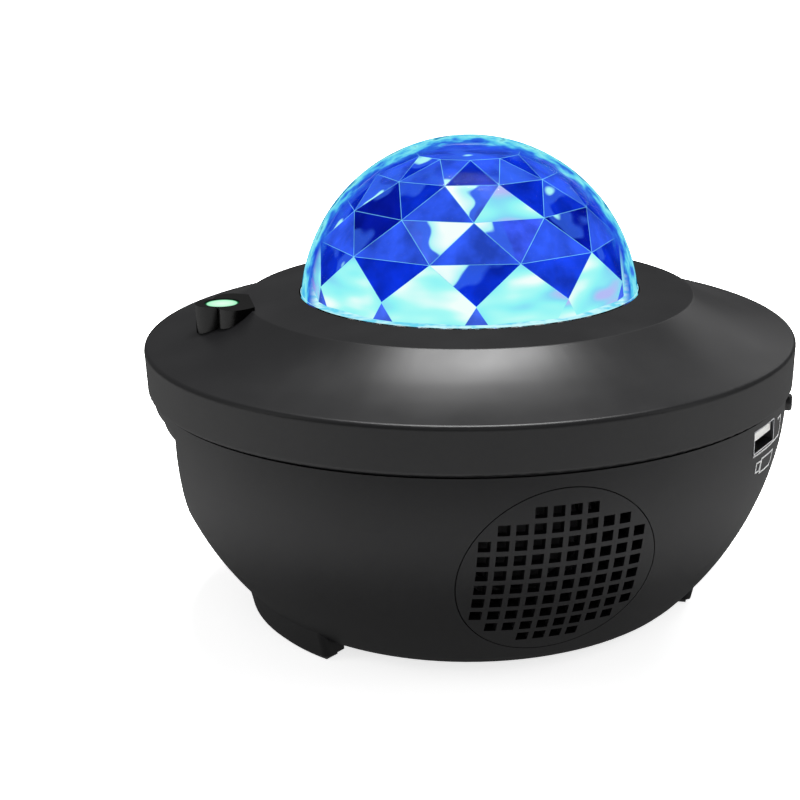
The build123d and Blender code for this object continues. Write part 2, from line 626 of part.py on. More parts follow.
def dome_facets():
    """Solid with the faceted inside of the dome: a belt of upright walls and five rings of triangles."""
    step = 360 / DOME_FACETS
    rings = []
    for level, latitude in enumerate(DOME_LATITUDES):
        shift = DOME_TURN + (level % 2) * step / 2
        rings.append([dome_corner(latitude, shift + k * step) for k in range(DOME_FACETS)])
    left = [dome_corner(DOME_SKIRT_LATITUDE, DOME_TURN + k * step - DOME_NOTCH) for k in range(DOME_FACETS)]
    right = [dome_corner(DOME_SKIRT_LATITUDE, DOME_TURN + k * step + DOME_NOTCH) for k in range(DOME_FACETS)]
    depth = Vector(0, 0, left[0].Z - DOME_LOW + 1)
    faces = []
    for k in range(DOME_FACETS):
        following = (k + 1) % DOME_FACETS
        faces.append(polygon_face([left[k], right[k], rings[0][k]]))
        faces.append(polygon_face([right[k], left[following], rings[0][following], rings[0][k]]))
        faces.append(polygon_face([left[k] - depth, right[k] - depth, right[k], left[k]]))
        faces.append(polygon_face([right[k] - depth, left[following] - depth, left[following], right[k]]))
    for level in range(len(rings) - 1):
        lower, upper = rings[level], rings[level + 1]
        for k in range(DOME_FACETS):
            following = (k + 1) % DOME_FACETS
            above = k if level % 2 == 0 else following
            faces.append(polygon_face([lower[k], lower[following], upper[above]]))
            after = (above + 1) % DOME_FACETS
            faces.append(polygon_face([upper[above], lower[following], upper[after]]))
    faces.append(polygon_face(rings[-1]))
    floor = [corner - depth for pair in zip(left, right) for corner in pair]
    faces.append(polygon_face(floor))
    return Solid(Shell(faces))


def dome_lens():
    """Smooth dome with a faceted inside and the flange that its retainer clamps."""
    body = Pos(0, 0, DOME_CENTRE) * Sphere(DOME_RADIUS) & disc(FAR, DOME_LOW, FAR)
    body += disc(DOME_RADIUS + DOME_FLANGE, DOME_LOW, PLATEAU_UNDERSIDE)
    return body - dome_facets()


def dome_retainer():
    """Flat ring with four ears, screwed up against the dome's flange."""
    low = DOME_LOW - RETAINER_THICKNESS
    body = disc(DOME_RADIUS + DOME_FLANGE, low, DOME_LOW)
    bridge = Pos(-RETAINER_EAR) * slab(2 * RETAINER_EAR, 2 * RETAINER_EAR, low, DOME_LOW)
    for a in RETAINER_AZIMUTHS:
        body += upright(a, RETAINER_PLACE) * (disc(RETAINER_EAR, low, DOME_LOW) + bridge)
    body -= disc(DOME_RADIUS - DOME_SKIN - RETAINER_ROOM, low - 1, DOME_LOW + 1)
    for a in RETAINER_AZIMUTHS:
        body -= upright(a, RETAINER_PLACE) * disc(SCREW_RADIUS + SCREW_ROOM, low - 1, DOME_LOW + 1)
    return body


# ---- grille and loudspeaker ------------------------------------------------------------
def grille_holes():
    """Centres of the grille's square holes that keep clear of its rim."""
    rows = len(GRILLE_COLUMNS)
    centres = []
    for row, count in enumerate(GRILLE_COLUMNS):
        y = ((rows - 1) / 2 - row) * GRILLE_PITCH
        centres += [((k - (count - 1) / 2) * GRILLE_PITCH, y) for k in range(count)]
    half_hole = GRILLE_HOLE / 2
    limit = GRILLE_RADIUS - GRILLE_RIM
    return [(x, y) for x, y in centres if math.hypot(abs(x) + half_hole, abs(y) + half_hole) <= limit]


def speaker_grille():
    """Round cut-out of the bowl's wall, pierced by rows of square holes."""
    plate = grille_bore(GRILLE_RADIUS) & (bowl_outside() - bowl_cavity())
    holes = Sketch() + [Pos(x, y) * Rectangle(GRILLE_HOLE, GRILLE_HOLE) for x, y in grille_holes()]
    return plate - speaker_frame() * extrude(holes, BOWL_RADIUS)


def speaker_gasket():
    form = ring(SPEAKER_RADIUS, SPEAKER_MOUTH, -GASKET_THICKNESS, 0)
    for spot in speaker_screw_spots():
        form -= spot * disc(SCREW_RADIUS + SCREW_ROOM, -GASKET_THICKNESS - 1, 1)
    return speaker_frame() * form


def speaker_screw_spots():
    return [Rot(0, 0, 45 + 90 * k) * Pos(SPEAKER_RADIUS - SPEAKER_SCREW_INSET, 0) for k in range(4)]


def speaker_basket():
    """Pressed basket: flange, windowed cone and the plate in front of the magnet."""
    front = MAGNET_FRONT + BASKET_PLATE
    throat = COIL_RADIUS + 1
    inner = SPEAKER_MOUTH - 1
    flange = [(inner, -GASKET_THICKNESS), (SPEAKER_RADIUS, -GASKET_THICKNESS), (SPEAKER_RADIUS, FLANGE_BACK)]
    outside = [(inner + 2 * FLANGE_THICKNESS, FLANGE_BACK), (MAGNET_RADIUS - 1, MAGNET_FRONT)]
    inside = [(throat, MAGNET_FRONT), (throat, front), (MAGNET_RADIUS - 2, front), (inner, FLANGE_BACK)]
    form = turned(flange + outside + inside)
    window = Box(MAGNET_RADIUS - 1, MAGNET_RADIUS, (FLANGE_BACK - front) * 0.64)
    for k, spot in enumerate(speaker_screw_spots()):
        form -= Rot(0, 0, 90 * k) * Pos(inner - 1, 0, (front + FLANGE_BACK) / 2) * window
        form -= spot * disc(SCREW_RADIUS + SCREW_ROOM, FLANGE_BACK - 1, 0)
    return speaker_frame() * form


def speaker_magnet():
    return speaker_frame() * ring(MAGNET_RADIUS, COIL_RADIUS + BASKET_PLATE, YOKE_FRONT, MAGNET_FRONT)


def speaker_yoke():
    """Back plate of the magnet with the pole that the coil moves over."""
    plate = disc(MAGNET_RADIUS - BOSS_STEP, -SPEAKER_DEPTH, YOKE_FRONT)
    return speaker_frame() * (plate + disc(COIL_RADIUS - 1, YOKE_FRONT, MAGNET_FRONT + 1))


def speaker_surround():
    """Half-round rubber roll between the cone and the basket's flange."""
    middle = (CONE_RADIUS + SPEAKER_MOUTH) / 2 - FIT
    roll = SURROUND_WIDTH / 2 - 0.7
    upper_half = Pos(middle, SPEAKER_DEPTH / 2 - GASKET_THICKNESS) * Rectangle(SPEAKER_DEPTH, SPEAKER_DEPTH)
    arch = Pos(middle, -GASKET_THICKNESS) * (Circle(roll) - Circle(roll - SURROUND_WALL)) & upper_half
    width = SPEAKER_MOUTH - middle - roll
    lap = SURROUND_WALL - SHAFT_FIT
    edge = Pos(middle + roll + width / 2 - FIT, lap / 2 - GASKET_THICKNESS) * Rectangle(width, lap)
    return speaker_frame() * revolve(Plane.XZ * (arch + edge), Axis.Z)


def speaker_cone():
    """Paper cone with dust cap and voice coil, one moving piece."""
    edge, neck = CONE_RADIUS - 0.2, COIL_RADIUS + 0.4
    bottom = FLANGE_BACK - CONE_DEPTH
    cone = turned([(neck, bottom), (edge, FLANGE_BACK), (edge, FLANGE_BACK + CONE_PAPER),
                   (neck - CONE_PAPER, bottom + CONE_PAPER), (neck - CONE_PAPER, bottom)])
    cap_radius = neck + 1
    cap = Pos(0, 0, bottom - 3.4) * (Sphere(cap_radius) - Sphere(cap_radius - 0.5))
    cap &= disc(neck, bottom + 0.4, FAR)
    coil = ring(COIL_RADIUS + 0.2, COIL_RADIUS - 0.4, bottom - 5, bottom + 0.4)
    return speaker_frame() * (cone + cap + coil)


def speaker_screws():
    shank = disc(SCREW_RADIUS - SHAFT_FIT, 0, BAFFLE_THICKNESS + GASKET_THICKNESS)
    form = Pos(0, 0, FLANGE_BACK) * (disc(SMALL_HEAD, -1.3, 0) + shank)
    return group(speaker_frame() * spot * form for spot in speaker_screw_spots())


# ---- gears -----------------------------------------------------------------------------
def involute(angle):
    return math.tan(angle) - angle


def gear_face(teeth, phase):
    """Spur gear outline with involute flanks; a tooth is centred on the angle phase."""
    pitch_radius = GEAR_MODULE * teeth / 2
    base = pitch_radius * math.cos(math.radians(GEAR_PRESSURE_ANGLE))
    thickness = math.pi * GEAR_MODULE / 2 - GEAR_BACKLASH / 2
    at_pitch = thickness / pitch_radius / 2 + involute(math.radians(GEAR_PRESSURE_ANGLE))
    root, tip = pitch_radius - 1.25 * GEAR_MODULE, pitch_radius + 0.9 * GEAR_MODULE
    flank = []
    for radius in (root, pitch_radius, tip):
        reach = max(radius, base)
        flank.append((radius, at_pitch - involute(math.acos(base / reach))))
    outline = [(r, -a) for r, a in flank] + [(r, a) for r, a in reversed(flank)]
    points = []
    for k in range(teeth):
        centre = math.radians(phase) + 2 * math.pi * k / teeth
        points += [(r * math.cos(centre + a), r * math.sin(centre + a)) for r, a in outline]
    return make_face(Polyline(*points, close=True))


def mating_phase(bearing, teeth):
    """Tooth angle of a gear of that many teeth, in mesh with the ripple disc at a bearing in degrees."""
    return bearing + 180 * (1 + 1 / teeth) + bearing * RIPPLE_TEETH / teeth


def gear_body(teeth, azimuth, place, low, high):
    bearing = azimuth - 90
    face = gear_face(teeth, mating_phase(bearing, teeth) - bearing)
    return upright(azimuth, place, low) * extrude(face, high - low)


def ripple_gear():
    """Ring gear that carries the ripple lens in a cup above its teeth."""
    seat = RIPPLE_LENS_RADIUS + 2 * SHAFT_FIT
    body = Pos(0, 0, GEAR_BOTTOM) * extrude(gear_face(RIPPLE_TEETH, 0), GEAR_THICKNESS)
    body += disc(RIPPLE_CUP_RADIUS, GEAR_TOP, RIPPLE_LENS_BOTTOM + RIPPLE_LENS_THICKNESS)
    body -= disc(COLLAR_RADIUS + SHAFT_FIT, 0, GEAR_TOP + 1)
    body -= disc(seat - CUP_SEAT, GEAR_TOP, RIPPLE_LENS_BOTTOM + 1)
    return body - disc(seat, RIPPLE_LENS_BOTTOM, FAR)


def ripple_lens():
    """Clear disc with rings of ripples on its upper face."""
    top = RIPPLE_LENS_BOTTOM + RIPPLE_LENS_THICKNESS
    reach = RIPPLE_LENS_RADIUS * RIPPLE_WAVE_SHARE
    steps = 4 * RIPPLE_WAVES
    crest = []
    for k in range(steps + 1):
        swing = math.sin(math.pi * (k / 2))
        crest.append((reach * k / steps, top - RIPPLE_WAVE_HEIGHT * (1 - swing) / 2))
    surface = Spline(*crest)
    low = RIPPLE_LENS_BOTTOM
    edge = [(RIPPLE_LENS_RADIUS, top - FIT), (RIPPLE_LENS_RADIUS, low)]
    rest = Polyline(crest[-1], *edge, (0, low), crest[0])
    return revolve(Plane.XZ * make_face(Wire([surface] + rest.edges())), Axis.Z)


def drive_pinion():
    body = gear_body(PINION_TEETH, PINION_AZIMUTH, PINION_PLACE, GEAR_BOTTOM, GEAR_TOP)
    hub = disc(PINION_HUB, GEAR_BOTTOM - GEAR_LIFT / 2, GEAR_BOTTOM)
    body += upright(PINION_AZIMUTH, PINION_PLACE) * hub
    return body - upright(PINION_AZIMUTH, PINION_PLACE) * disc(MOTOR_SHAFT, 0, FAR)


def motor_shaft():
    shaft = disc(MOTOR_SHAFT, FRAME_BOTTOM - MOTOR_SHAFT_DEPTH, GEAR_TOP)
    return upright(PINION_AZIMUTH, PINION_PLACE) * shaft


def grating_wheel():
    """Toothed ring with three spokes round its hub, open where the grating film lies."""
    low, high = GEAR_BOTTOM + GRATING_STEP, GEAR_TOP - GRATING_STEP
    wheel = gear_body(GRATING_TEETH, LASER_AZIMUTH, GRATING_PLACE, low, high)
    cut = ring(grating_rim(), GRATING_HUB, low - 1, high + 1)
    spoke = Pos(grating_rim() / 2) * slab(grating_rim() + 1, GRATING_SPOKE, 0, FAR)
    for k in range(3):
        cut -= Rot(0, 0, 90 + 120 * k) * spoke
    wheel -= upright(LASER_AZIMUTH, GRATING_PLACE) * cut
    return wheel - upright(LASER_AZIMUTH, GRATING_PLACE) * disc(AXLE_RADIUS + SHAFT_FIT, 0, FAR)


def grating_rim():
    """Inner radius of the grating wheel's toothed rim."""
    return GEAR_MODULE * GRATING_TEETH / 2 - GRATING_RIM


def grating_film():
    low = GEAR_TOP - GRATING_STEP
    film = ring(grating_rim() + FILM_LAP, GRATING_HUB - FILM_LAP, low, low + FILM_THICKNESS)
    return upright(LASER_AZIMUTH, GRATING_PLACE) * film


def grating_axle():
    top = GEAR_TOP + FIT
    pin = disc(AXLE_RADIUS, FRAME_BOTTOM, top) + disc(AXLE_HEAD, top, top + 1)
    return upright(LASER_AZIMUTH, GRATING_PLACE) * pin


# ---- optics frame, motor, laser and lamp -----------------------------------------------
def snap_hooks():
    """Three barbs on the collar that hold the ripple disc down."""
    low = GEAR_TOP + FIT
    inner = COLLAR_RADIUS - HOOK_REACH
    barb = turned([(inner, low), (COLLAR_RADIUS + HOOK_REACH, low), (COLLAR_RADIUS, low + HOOK_HEIGHT),
                   (inner, low + HOOK_HEIGHT)])
    one = barb & sector(-HOOK_SPAN / 2, HOOK_SPAN / 2, 2 * COLLAR_RADIUS, 0, FAR)
    return [Rot(0, 0, 120 * k) * one for k in range(3)]


def optics_frame():
    """Round plate hung from the cover: collar for the ripple disc, axle seat and motor seat."""
    axle = upright(LASER_AZIMUTH, GRATING_PLACE)
    body = disc(FRAME_RADIUS, FRAME_BOTTOM, FRAME_TOP)
    body += disc(RIPPLE_CUP_RADIUS, FRAME_TOP, GEAR_BOTTOM - FIT)
    body += disc(COLLAR_RADIUS, FRAME_TOP, GEAR_TOP + COLLAR_RISE)
    body += snap_hooks()
    for a in FRAME_AZIMUTHS:
        body += upright(a, FRAME_BOSS_PLACE) * disc(FRAME_BOSS_RADIUS + FRAME_EAR, FRAME_BOTTOM, FRAME_TOP)
    body += axle * disc(AXLE_RADIUS + AXLE_WALL, FRAME_BOTTOM, GEAR_BOTTOM + GRATING_STEP - FIT)
    body -= axle * disc(AXLE_RADIUS, 0, FAR)
    body -= disc(COLLAR_RADIUS - COLLAR_WALL, FRAME_TOP, FAR)
    body -= disc(FRAME_HOLE, 0, FAR)
    body -= speaker_frame() * disc(DUCT_RADIUS + 1, -SPEAKER_FLANGE / 2, BOWL_RADIUS)
    body -= upright(PINION_AZIMUTH, PINION_PLACE) * disc(MOTOR_SHAFT + 1, 0, FAR)
    for spot in motor_screw_spots() + laser_screw_spots():
        body -= spot * disc(SCREW_RADIUS, -FRAME_PLATE - 1, FRAME_PLATE + 1)
    body -= heatsink_holes(SCREW_RADIUS)
    for a in FRAME_AZIMUTHS:
        body -= upright(a, FRAME_BOSS_PLACE) * disc(SCREW_RADIUS + SCREW_ROOM, 0, FAR)
    return body


def motor_screw_spots():
    seat = upright(PINION_AZIMUTH, PINION_PLACE, FRAME_TOP)
    return [seat * Pos(0, side * MOTOR_SCREW_SPREAD, 0) for side in (-1, 1)]


def laser_screw_spots():
    seat = upright(LASER_AZIMUTH, laser_block_place() - LASER_SCREW_SHIFT, FRAME_TOP)
    return [seat * Pos(0, side * LASER_SCREW_SPREAD, 0) for side in (-1, 1)]


def top_screws(spots):
    """Countersunk-size screws driven down through the frame's plate."""
    form = disc(SMALL_HEAD, 0, 1.2) + disc(SCREW_RADIUS - SHAFT_FIT, -FRAME_PLATE - 3, 0)
    return group(spot * form for spot in spots)


def gear_motor():
    """Gearbox with its motor can hanging below it."""
    length, width, height = GEARBOX
    low = FRAME_BOTTOM - height
    bottom = low - MOTOR_LENGTH
    body = Pos(0, 0, FRAME_BOTTOM) * Box(width, length, height, align=CEILING)
    body += disc(length / 2, bottom, low) & slab(width, 2 * length, 0, FAR)
    body += disc(MOTOR_NOSE, bottom - 1, bottom)
    body -= disc(MOTOR_SHAFT + SHAFT_FIT, FRAME_BOTTOM - MOTOR_SHAFT_DEPTH, FAR)
    for side in (-1, 1):
        body -= Pos(0, side * MOTOR_SCREW_SPREAD) * disc(SCREW_RADIUS, FRAME_BOTTOM - 3.5, FAR)
    return upright(PINION_AZIMUTH, PINION_PLACE) * body


def beam_place(height):
    """Where the laser's axis crosses a height, from the centre of the body."""
    return WINDOW_PLACE - (HOOD_TOP - height) * BEAM_SLOPE


def beam_frame(height):
    """Frame on the laser's axis at a height, local Z along the beam."""
    lean = math.degrees(math.atan(BEAM_SLOPE))
    return upright(LASER_AZIMUTH, beam_place(height), height) * Rot(0, lean, 0)


def laser_module():
    """Laser barrel with a slimmer, bored nose."""
    barrel = disc(LASER_RADIUS, -LASER_LENGTH, -LASER_NOSE) + disc(LASER_RADIUS - 0.8, -LASER_NOSE, 0)
    return beam_frame(LASER_TOP - 1) * (barrel - disc(LASER_NOSE, -LASER_NOSE, 1))


def laser_block_place():
    """Centre of the laser's block, from the centre of the body."""
    return beam_place(FRAME_BOTTOM) - LASER_BLOCK_SHIFT


def laser_mount():
    """Block under the plate, bored at the beam's slope for the laser barrel."""
    block = upright(LASER_AZIMUTH, laser_block_place(), FRAME_BOTTOM) * Box(*LASER_BLOCK, align=CEILING)
    block -= beam_frame(LASER_TOP) * Cylinder(LASER_RADIUS, 4 * LASER_LENGTH)
    for spot in laser_screw_spots():
        block -= spot * disc(SCREW_RADIUS, -FRAME_PLATE - 4, 1)
    return block


def led_heatsink():
    """Finned plate under the lamp board."""
    plate_low = FRAME_BOTTOM - HEATSINK_PLATE
    low = plate_low - HEATSINK_FIN_DEPTH
    body = disc(HEATSINK_RADIUS + 2, plate_low, FRAME_BOTTOM)
    round_limit = disc(HEATSINK_RADIUS - 2, low, plate_low)
    spacing = 2 * (HEATSINK_RADIUS - 4) / (HEATSINK_FINS - 1)
    for k in range(HEATSINK_FINS):
        x = (k - (HEATSINK_FINS - 1) / 2) * spacing
        body += Pos(x, 0) * slab(HEATSINK_FIN, FAR, low, plate_low) & round_limit
    return body - heatsink_holes(SCREW_RADIUS + SCREW_ROOM)


def heatsink_spots():
    return [Rot(0, 0, 15 + 120 * k) * Pos(HEATSINK_RADIUS, 0) for k in range(3)]


def heatsink_holes(radius):
    hole = disc(radius, FRAME_BOTTOM - HEATSINK_PLATE - 1, FRAME_TOP - FIT)
    return Part() + [spot * hole for spot in heatsink_spots()]


def heatsink_screws():
    plate_low = FRAME_BOTTOM - HEATSINK_PLATE
    form = disc(SMALL_HEAD, plate_low - 1.4, plate_low)
    form += disc(SCREW_RADIUS - SHAFT_FIT, plate_low, FRAME_TOP - FIT - SHAFT_FIT)
    return group(spot * form for spot in heatsink_spots())


def led_board():
    return disc(LED_BOARD_RADIUS, FRAME_BOTTOM, FRAME_BOTTOM + BOARD_THICKNESS)


def led_emitters():
    low = FRAME_BOTTOM + BOARD_THICKNESS
    chip = slab(3.5, 3.5, low, low + 0.9) + disc(1.4, low + 0.9, low + 1.5)
    return group(Rot(0, 0, 90 * k) * Pos(4.2, 0) * chip for k in range(4))


def led_lens():
    """Bell-shaped condenser standing on the lamp board over the emitters."""
    low = FRAME_BOTTOM + BOARD_THICKNESS
    shoulder = low + 2.2
    top = low + LED_LENS_HEIGHT
    swell = 0.55
    crown = Bezier((LED_LENS_RADIUS, shoulder), (LED_LENS_RADIUS, shoulder + swell * (top - shoulder)),
                   (swell * LED_LENS_RADIUS, top), (0, top))
    rest = Polyline((0, top), (0, low + 2.4), (7.6, low + 2.4), (7.6, low), (LED_LENS_RADIUS, low),
                    (LED_LENS_RADIUS, shoulder))
    return revolve(Plane.XZ * make_face(Wire([crown] + rest.edges())), Axis.Z)


def infrared_receiver():
    low = FRAME_BOTTOM + BOARD_THICKNESS
    return Pos(0, 14.4, low) * (Box(5, 3.4, 5.6, align=BASE) + Pos(0, -1.2, 3) * Sphere(1.5))


# ---- boards ----------------------------------------------------------------------------
def main_board():
    plate = slab(*MAIN_BOARD, MAIN_BOARD_HEIGHT, MAIN_BOARD_HEIGHT + BOARD_THICKNESS)
    board = Pos(0, MAIN_BOARD_BACK) * plate
    for x, y in main_board_corners():
        board -= Pos(x, y) * disc(SCREW_RADIUS + SCREW_ROOM, 0, FAR)
    return board


def board_screw(top):
    shank = disc(SCREW_RADIUS - SHAFT_FIT, top - BOARD_SCREW_LENGTH + 1, top)
    return shank + disc(BOARD_SCREW_HEAD, top, top + 1.5)


def main_board_screws():
    form = board_screw(MAIN_BOARD_HEIGHT + BOARD_THICKNESS)
    return group(Pos(x, y) * form for x, y in main_board_corners())


def on_main_board(x, y):
    return Pos(x, MAIN_BOARD_BACK + y, MAIN_BOARD_HEIGHT + BOARD_THICKNESS)


def processor_chips():
    spots = [(-12, -6, 7, 7), (6, -8, 10, 6), (16, 6, 5, 5)]
    return group(on_main_board(x, y) * Box(w, d, 1.2, align=BASE) for x, y, w, d in spots)


def capacitors():
    spots = [(-22, 8, 4.0, 10), (-12, 10, 3.2, 8), (22, -10, 4.0, 10)]
    return group(on_main_board(x, y) * Cylinder(r, h, align=BASE) for x, y, r, h in spots)


def radio_module():
    """Small carrier board with the shield of the wireless receiver."""
    carrier = Box(12, 16, 1, align=BASE)
    can = Pos(0, -2, 1) * Box(9, 9, 1.6, align=BASE)
    return on_main_board(4, 8) * (carrier + can)


def board_connectors():
    """Pin headers for the wires to the speaker, lamp, motor and laser."""
    header = Box(7.5, 5, 6, align=BASE) - Pos(0, 0.8, 1.2) * Box(6.1, 4, 6, align=BASE)
    return group(on_main_board(x, -17) * header for x in (-20, -10, 0, 10))


def control_board():
    """Arc-shaped board under the USB port and the buttons."""
    low = BOARD_TOP - BOARD_THICKNESS
    board = ring(CONTROL_BOARD_OUTER, CONTROL_BOARD_INNER, low, BOARD_TOP)
    board &= sector(*CONTROL_BOARD_SPAN, 2 * BOWL_RADIUS, 0, FAR)
    for a in CONTROL_BOARD_SCREWS:
        board -= upright(a, CONTROL_SCREW_PLACE) * disc(SCREW_RADIUS + SCREW_ROOM, 0, FAR)
    return board


def control_board_screws():
    form = board_screw(BOARD_TOP)
    return group(upright(a, CONTROL_SCREW_PLACE) * form for a in CONTROL_BOARD_SCREWS)


def usb_frame():
    """Mouth of the USB port, local Z outwards."""
    return facing(USB_AZIMUTH, BOWL_RADIUS - FIT, USB_HEIGHT)


def usb_port():
    """Folded steel shell of the USB port."""
    shell = slab(USB_WIDTH, USB_SIZE, -USB_DEPTH, 0)
    room = slab(USB_WIDTH - 2 * USB_SHELL, USB_SIZE - 2 * USB_SHELL, -USB_DEPTH + USB_SHELL, 1)
    return usb_frame() * (shell - room)


def usb_insulator():
    """Plastic block with the contact tongue in the upper half of the port."""
    width, height = USB_WIDTH - 2 * USB_SHELL, USB_SIZE - 2 * USB_SHELL
    block = slab(width, height, -USB_DEPTH + USB_SHELL, -USB_TONGUE_ROOT)
    blade = slab(width - 2 * USB_MARGIN, USB_TONGUE, -USB_TONGUE_ROOT, -2 * USB_SHELL)
    return usb_frame() * (block + Pos(0, height / 2 - USB_MARGIN - USB_TONGUE / 2, 0) * blade)


def usb_contacts():
    thickness = USB_SHELL / 2
    level = USB_SIZE / 2 - USB_SHELL - USB_MARGIN - USB_TONGUE - thickness / 2
    strip = slab(1.0, thickness, SHAFT_FIT - USB_TONGUE_ROOT, -1.6)
    return group(usb_frame() * Pos(x, level, 0) * strip for x in (-3.5, -1, 1, 3.5))


def tact_switches():
    """Side-push switches on the control board, one behind each button."""
    stem_end = BUTTON_SEAT - FIT - BUTTON_FLANGE - BUTTON_STEM
    tip = stem_end - BUTTON_TRAVEL - 2 * SHAFT_FIT
    rise = BUTTON_HEIGHT - BOARD_TOP
    plunger = 1.2
    one = Pos(0, 0, -plunger) * Box(6, 2 * rise, 3.6, align=CEILING) + disc(1.1, -plunger, 0)
    return group(facing(a, tip, BUTTON_HEIGHT) * one for a in BUTTONS.values())


def button(azimuth):
    """Round push button with a crowned face, a stop flange and a stem."""
    cap = disc(BUTTON_RADIUS, 0, BOWL_RADIUS + BUTTON_PROUD - BUTTON_SEAT + FIT)
    cap = fillet(cap.edges().sort_by(Axis.Z)[-1], BUTTON_ROUND)
    stem = disc(BUTTON_RADIUS - 1, -BUTTON_FLANGE - BUTTON_STEM, -BUTTON_FLANGE)
    form = cap + disc(BUTTON_RADIUS + BUTTON_FLANGE, -BUTTON_FLANGE, 0) + stem
    return facing(azimuth, BUTTON_SEAT - FIT, BUTTON_HEIGHT) * form


def power_inlet():
    """Barrel-plug socket behind the flat panel, open to the outside with a centre pin."""
    depth, width, height = INLET_BODY
    body = slab(width, height, -depth, 0) - disc(INLET_RADIUS - FIT, -depth + INLET_CHEEK, 1)
    pin = disc(1.05, -depth + 2, -1.2)
    return inlet_frame(WALL) * (body + pin)


def housing_screws():
    """Long screws up the tunnels in the feet, hidden by the pads."""
    seat = POST_MEETING - POST_WEB
    head = disc(TUNNEL_RADIUS - FIT, seat - 2, seat)
    form = head + disc(SCREW_RADIUS - SHAFT_FIT, seat, POST_MEETING + HOUSING_SCREW_BITE)
    return group(upright(a, POST_PLACE) * form for a in POST_AZIMUTHS)


def frame_screws():
    form = disc(2.4, FRAME_BOTTOM - 1.5, FRAME_BOTTOM)
    form += disc(SCREW_RADIUS - SHAFT_FIT, FRAME_BOTTOM, FRAME_TOP + FRAME_SCREW_BITE)
    return group(upright(a, FRAME_BOSS_PLACE) * form for a in FRAME_AZIMUTHS)


def retainer_screws():
    low = DOME_LOW - RETAINER_THICKNESS
    form = disc(2.3, low - 1.3, low) + disc(SCREW_RADIUS - SHAFT_FIT, low, DOME_LOW + RETAINER_SCREW_BITE)
    return group(upright(a, RETAINER_PLACE) * form for a in RETAINER_AZIMUTHS)


# ---- every node ------------------------------------------------------------------------
def nodes():
    made = {
        "lower_housing": lower_housing(), "upper_cover": upper_cover(),
        "laser_hood": laser_hood(), "laser_window": laser_window(),
        "dome_lens": dome_lens(), "dome_retainer": dome_retainer(), "retainer_screws": retainer_screws(),
        "speaker_grille": speaker_grille(), "speaker_gasket": speaker_gasket(),
        "speaker_basket": speaker_basket(), "speaker_magnet": speaker_magnet(),
        "speaker_yoke": speaker_yoke(), "speaker_surround": speaker_surround(),
        "speaker_cone": speaker_cone(), "speaker_screws": speaker_screws(),
        "optics_frame": optics_frame(), "frame_screws": frame_screws(),
        "ripple_gear": ripple_gear(), "ripple_lens": ripple_lens(),
        "drive_pinion": drive_pinion(), "motor_shaft": motor_shaft(), "gear_motor": gear_motor(),
        "motor_screws": top_screws(motor_screw_spots()),
        "grating_wheel": grating_wheel(), "grating_film": grating_film(), "grating_axle": grating_axle(),
        "laser_module": laser_module(), "laser_mount": laser_mount(),
        "laser_mount_screws": top_screws(laser_screw_spots()),
        "led_heatsink": led_heatsink(), "heatsink_screws": heatsink_screws(), "led_board": led_board(),
        "led_emitters": led_emitters(), "led_lens": led_lens(), "infrared_receiver": infrared_receiver(),
        "main_board": main_board(), "main_board_screws": main_board_screws(),
        "processor_chips": processor_chips(), "capacitors": capacitors(),
        "radio_module": radio_module(), "board_connectors": board_connectors(),
        "control_board": control_board(), "control_board_screws": control_board_screws(),
        "usb_port": usb_port(), "usb_insulator": usb_insulator(), "usb_contacts": usb_contacts(),
        "tact_switches": tact_switches(), "power_inlet": power_inlet(), "housing_screws": housing_screws(),
    }
    for function, azimuth in BUTTONS.items():
        made[f"{function}_button"] = button(azimuth)
    for side, centre in FEET.items():
        made[f"{side}_foot_pad"] = foot_pad(centre)
    return made


os.makedirs("parts", exist_ok=True)
for name, shape in nodes().items():
    export_step(shape, f"parts/{name}.step")
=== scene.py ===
"""Looks of a star night light projector: materials, the glowing dome, printed marks, studio and camera."""

import functools
import json
import logging
import math
from abc import ABC, abstractmethod
from dataclasses import dataclass
from enum import Enum
from typing import Any, Iterable

import bmesh
import bpy
from mathutils import Matrix, Vector
from mathutils.bvhtree import BVHTree


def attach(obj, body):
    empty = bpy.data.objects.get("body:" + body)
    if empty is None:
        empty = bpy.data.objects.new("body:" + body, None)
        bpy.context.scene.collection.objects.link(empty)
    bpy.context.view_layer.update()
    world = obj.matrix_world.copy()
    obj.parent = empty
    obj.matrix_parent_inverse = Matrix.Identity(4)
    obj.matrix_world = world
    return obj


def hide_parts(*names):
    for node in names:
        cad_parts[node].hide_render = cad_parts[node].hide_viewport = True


logging.basicConfig(level=logging.INFO, format="%(message)s")
LOG = logging.getLogger("projector")

MM = 0.001                          # metres in a millimetre
HOUSING = "housing"                 # the body that stands still
PICTURE_SIZE = 800                  # pixels each way
NOISE_LOW, NOISE_HIGH = 0.3, 0.7    # most of a noise texture lies between these
WHITE = (1.0, 1.0, 1.0, 1.0)
MERGE_DISTANCE = 1e-6               # metres

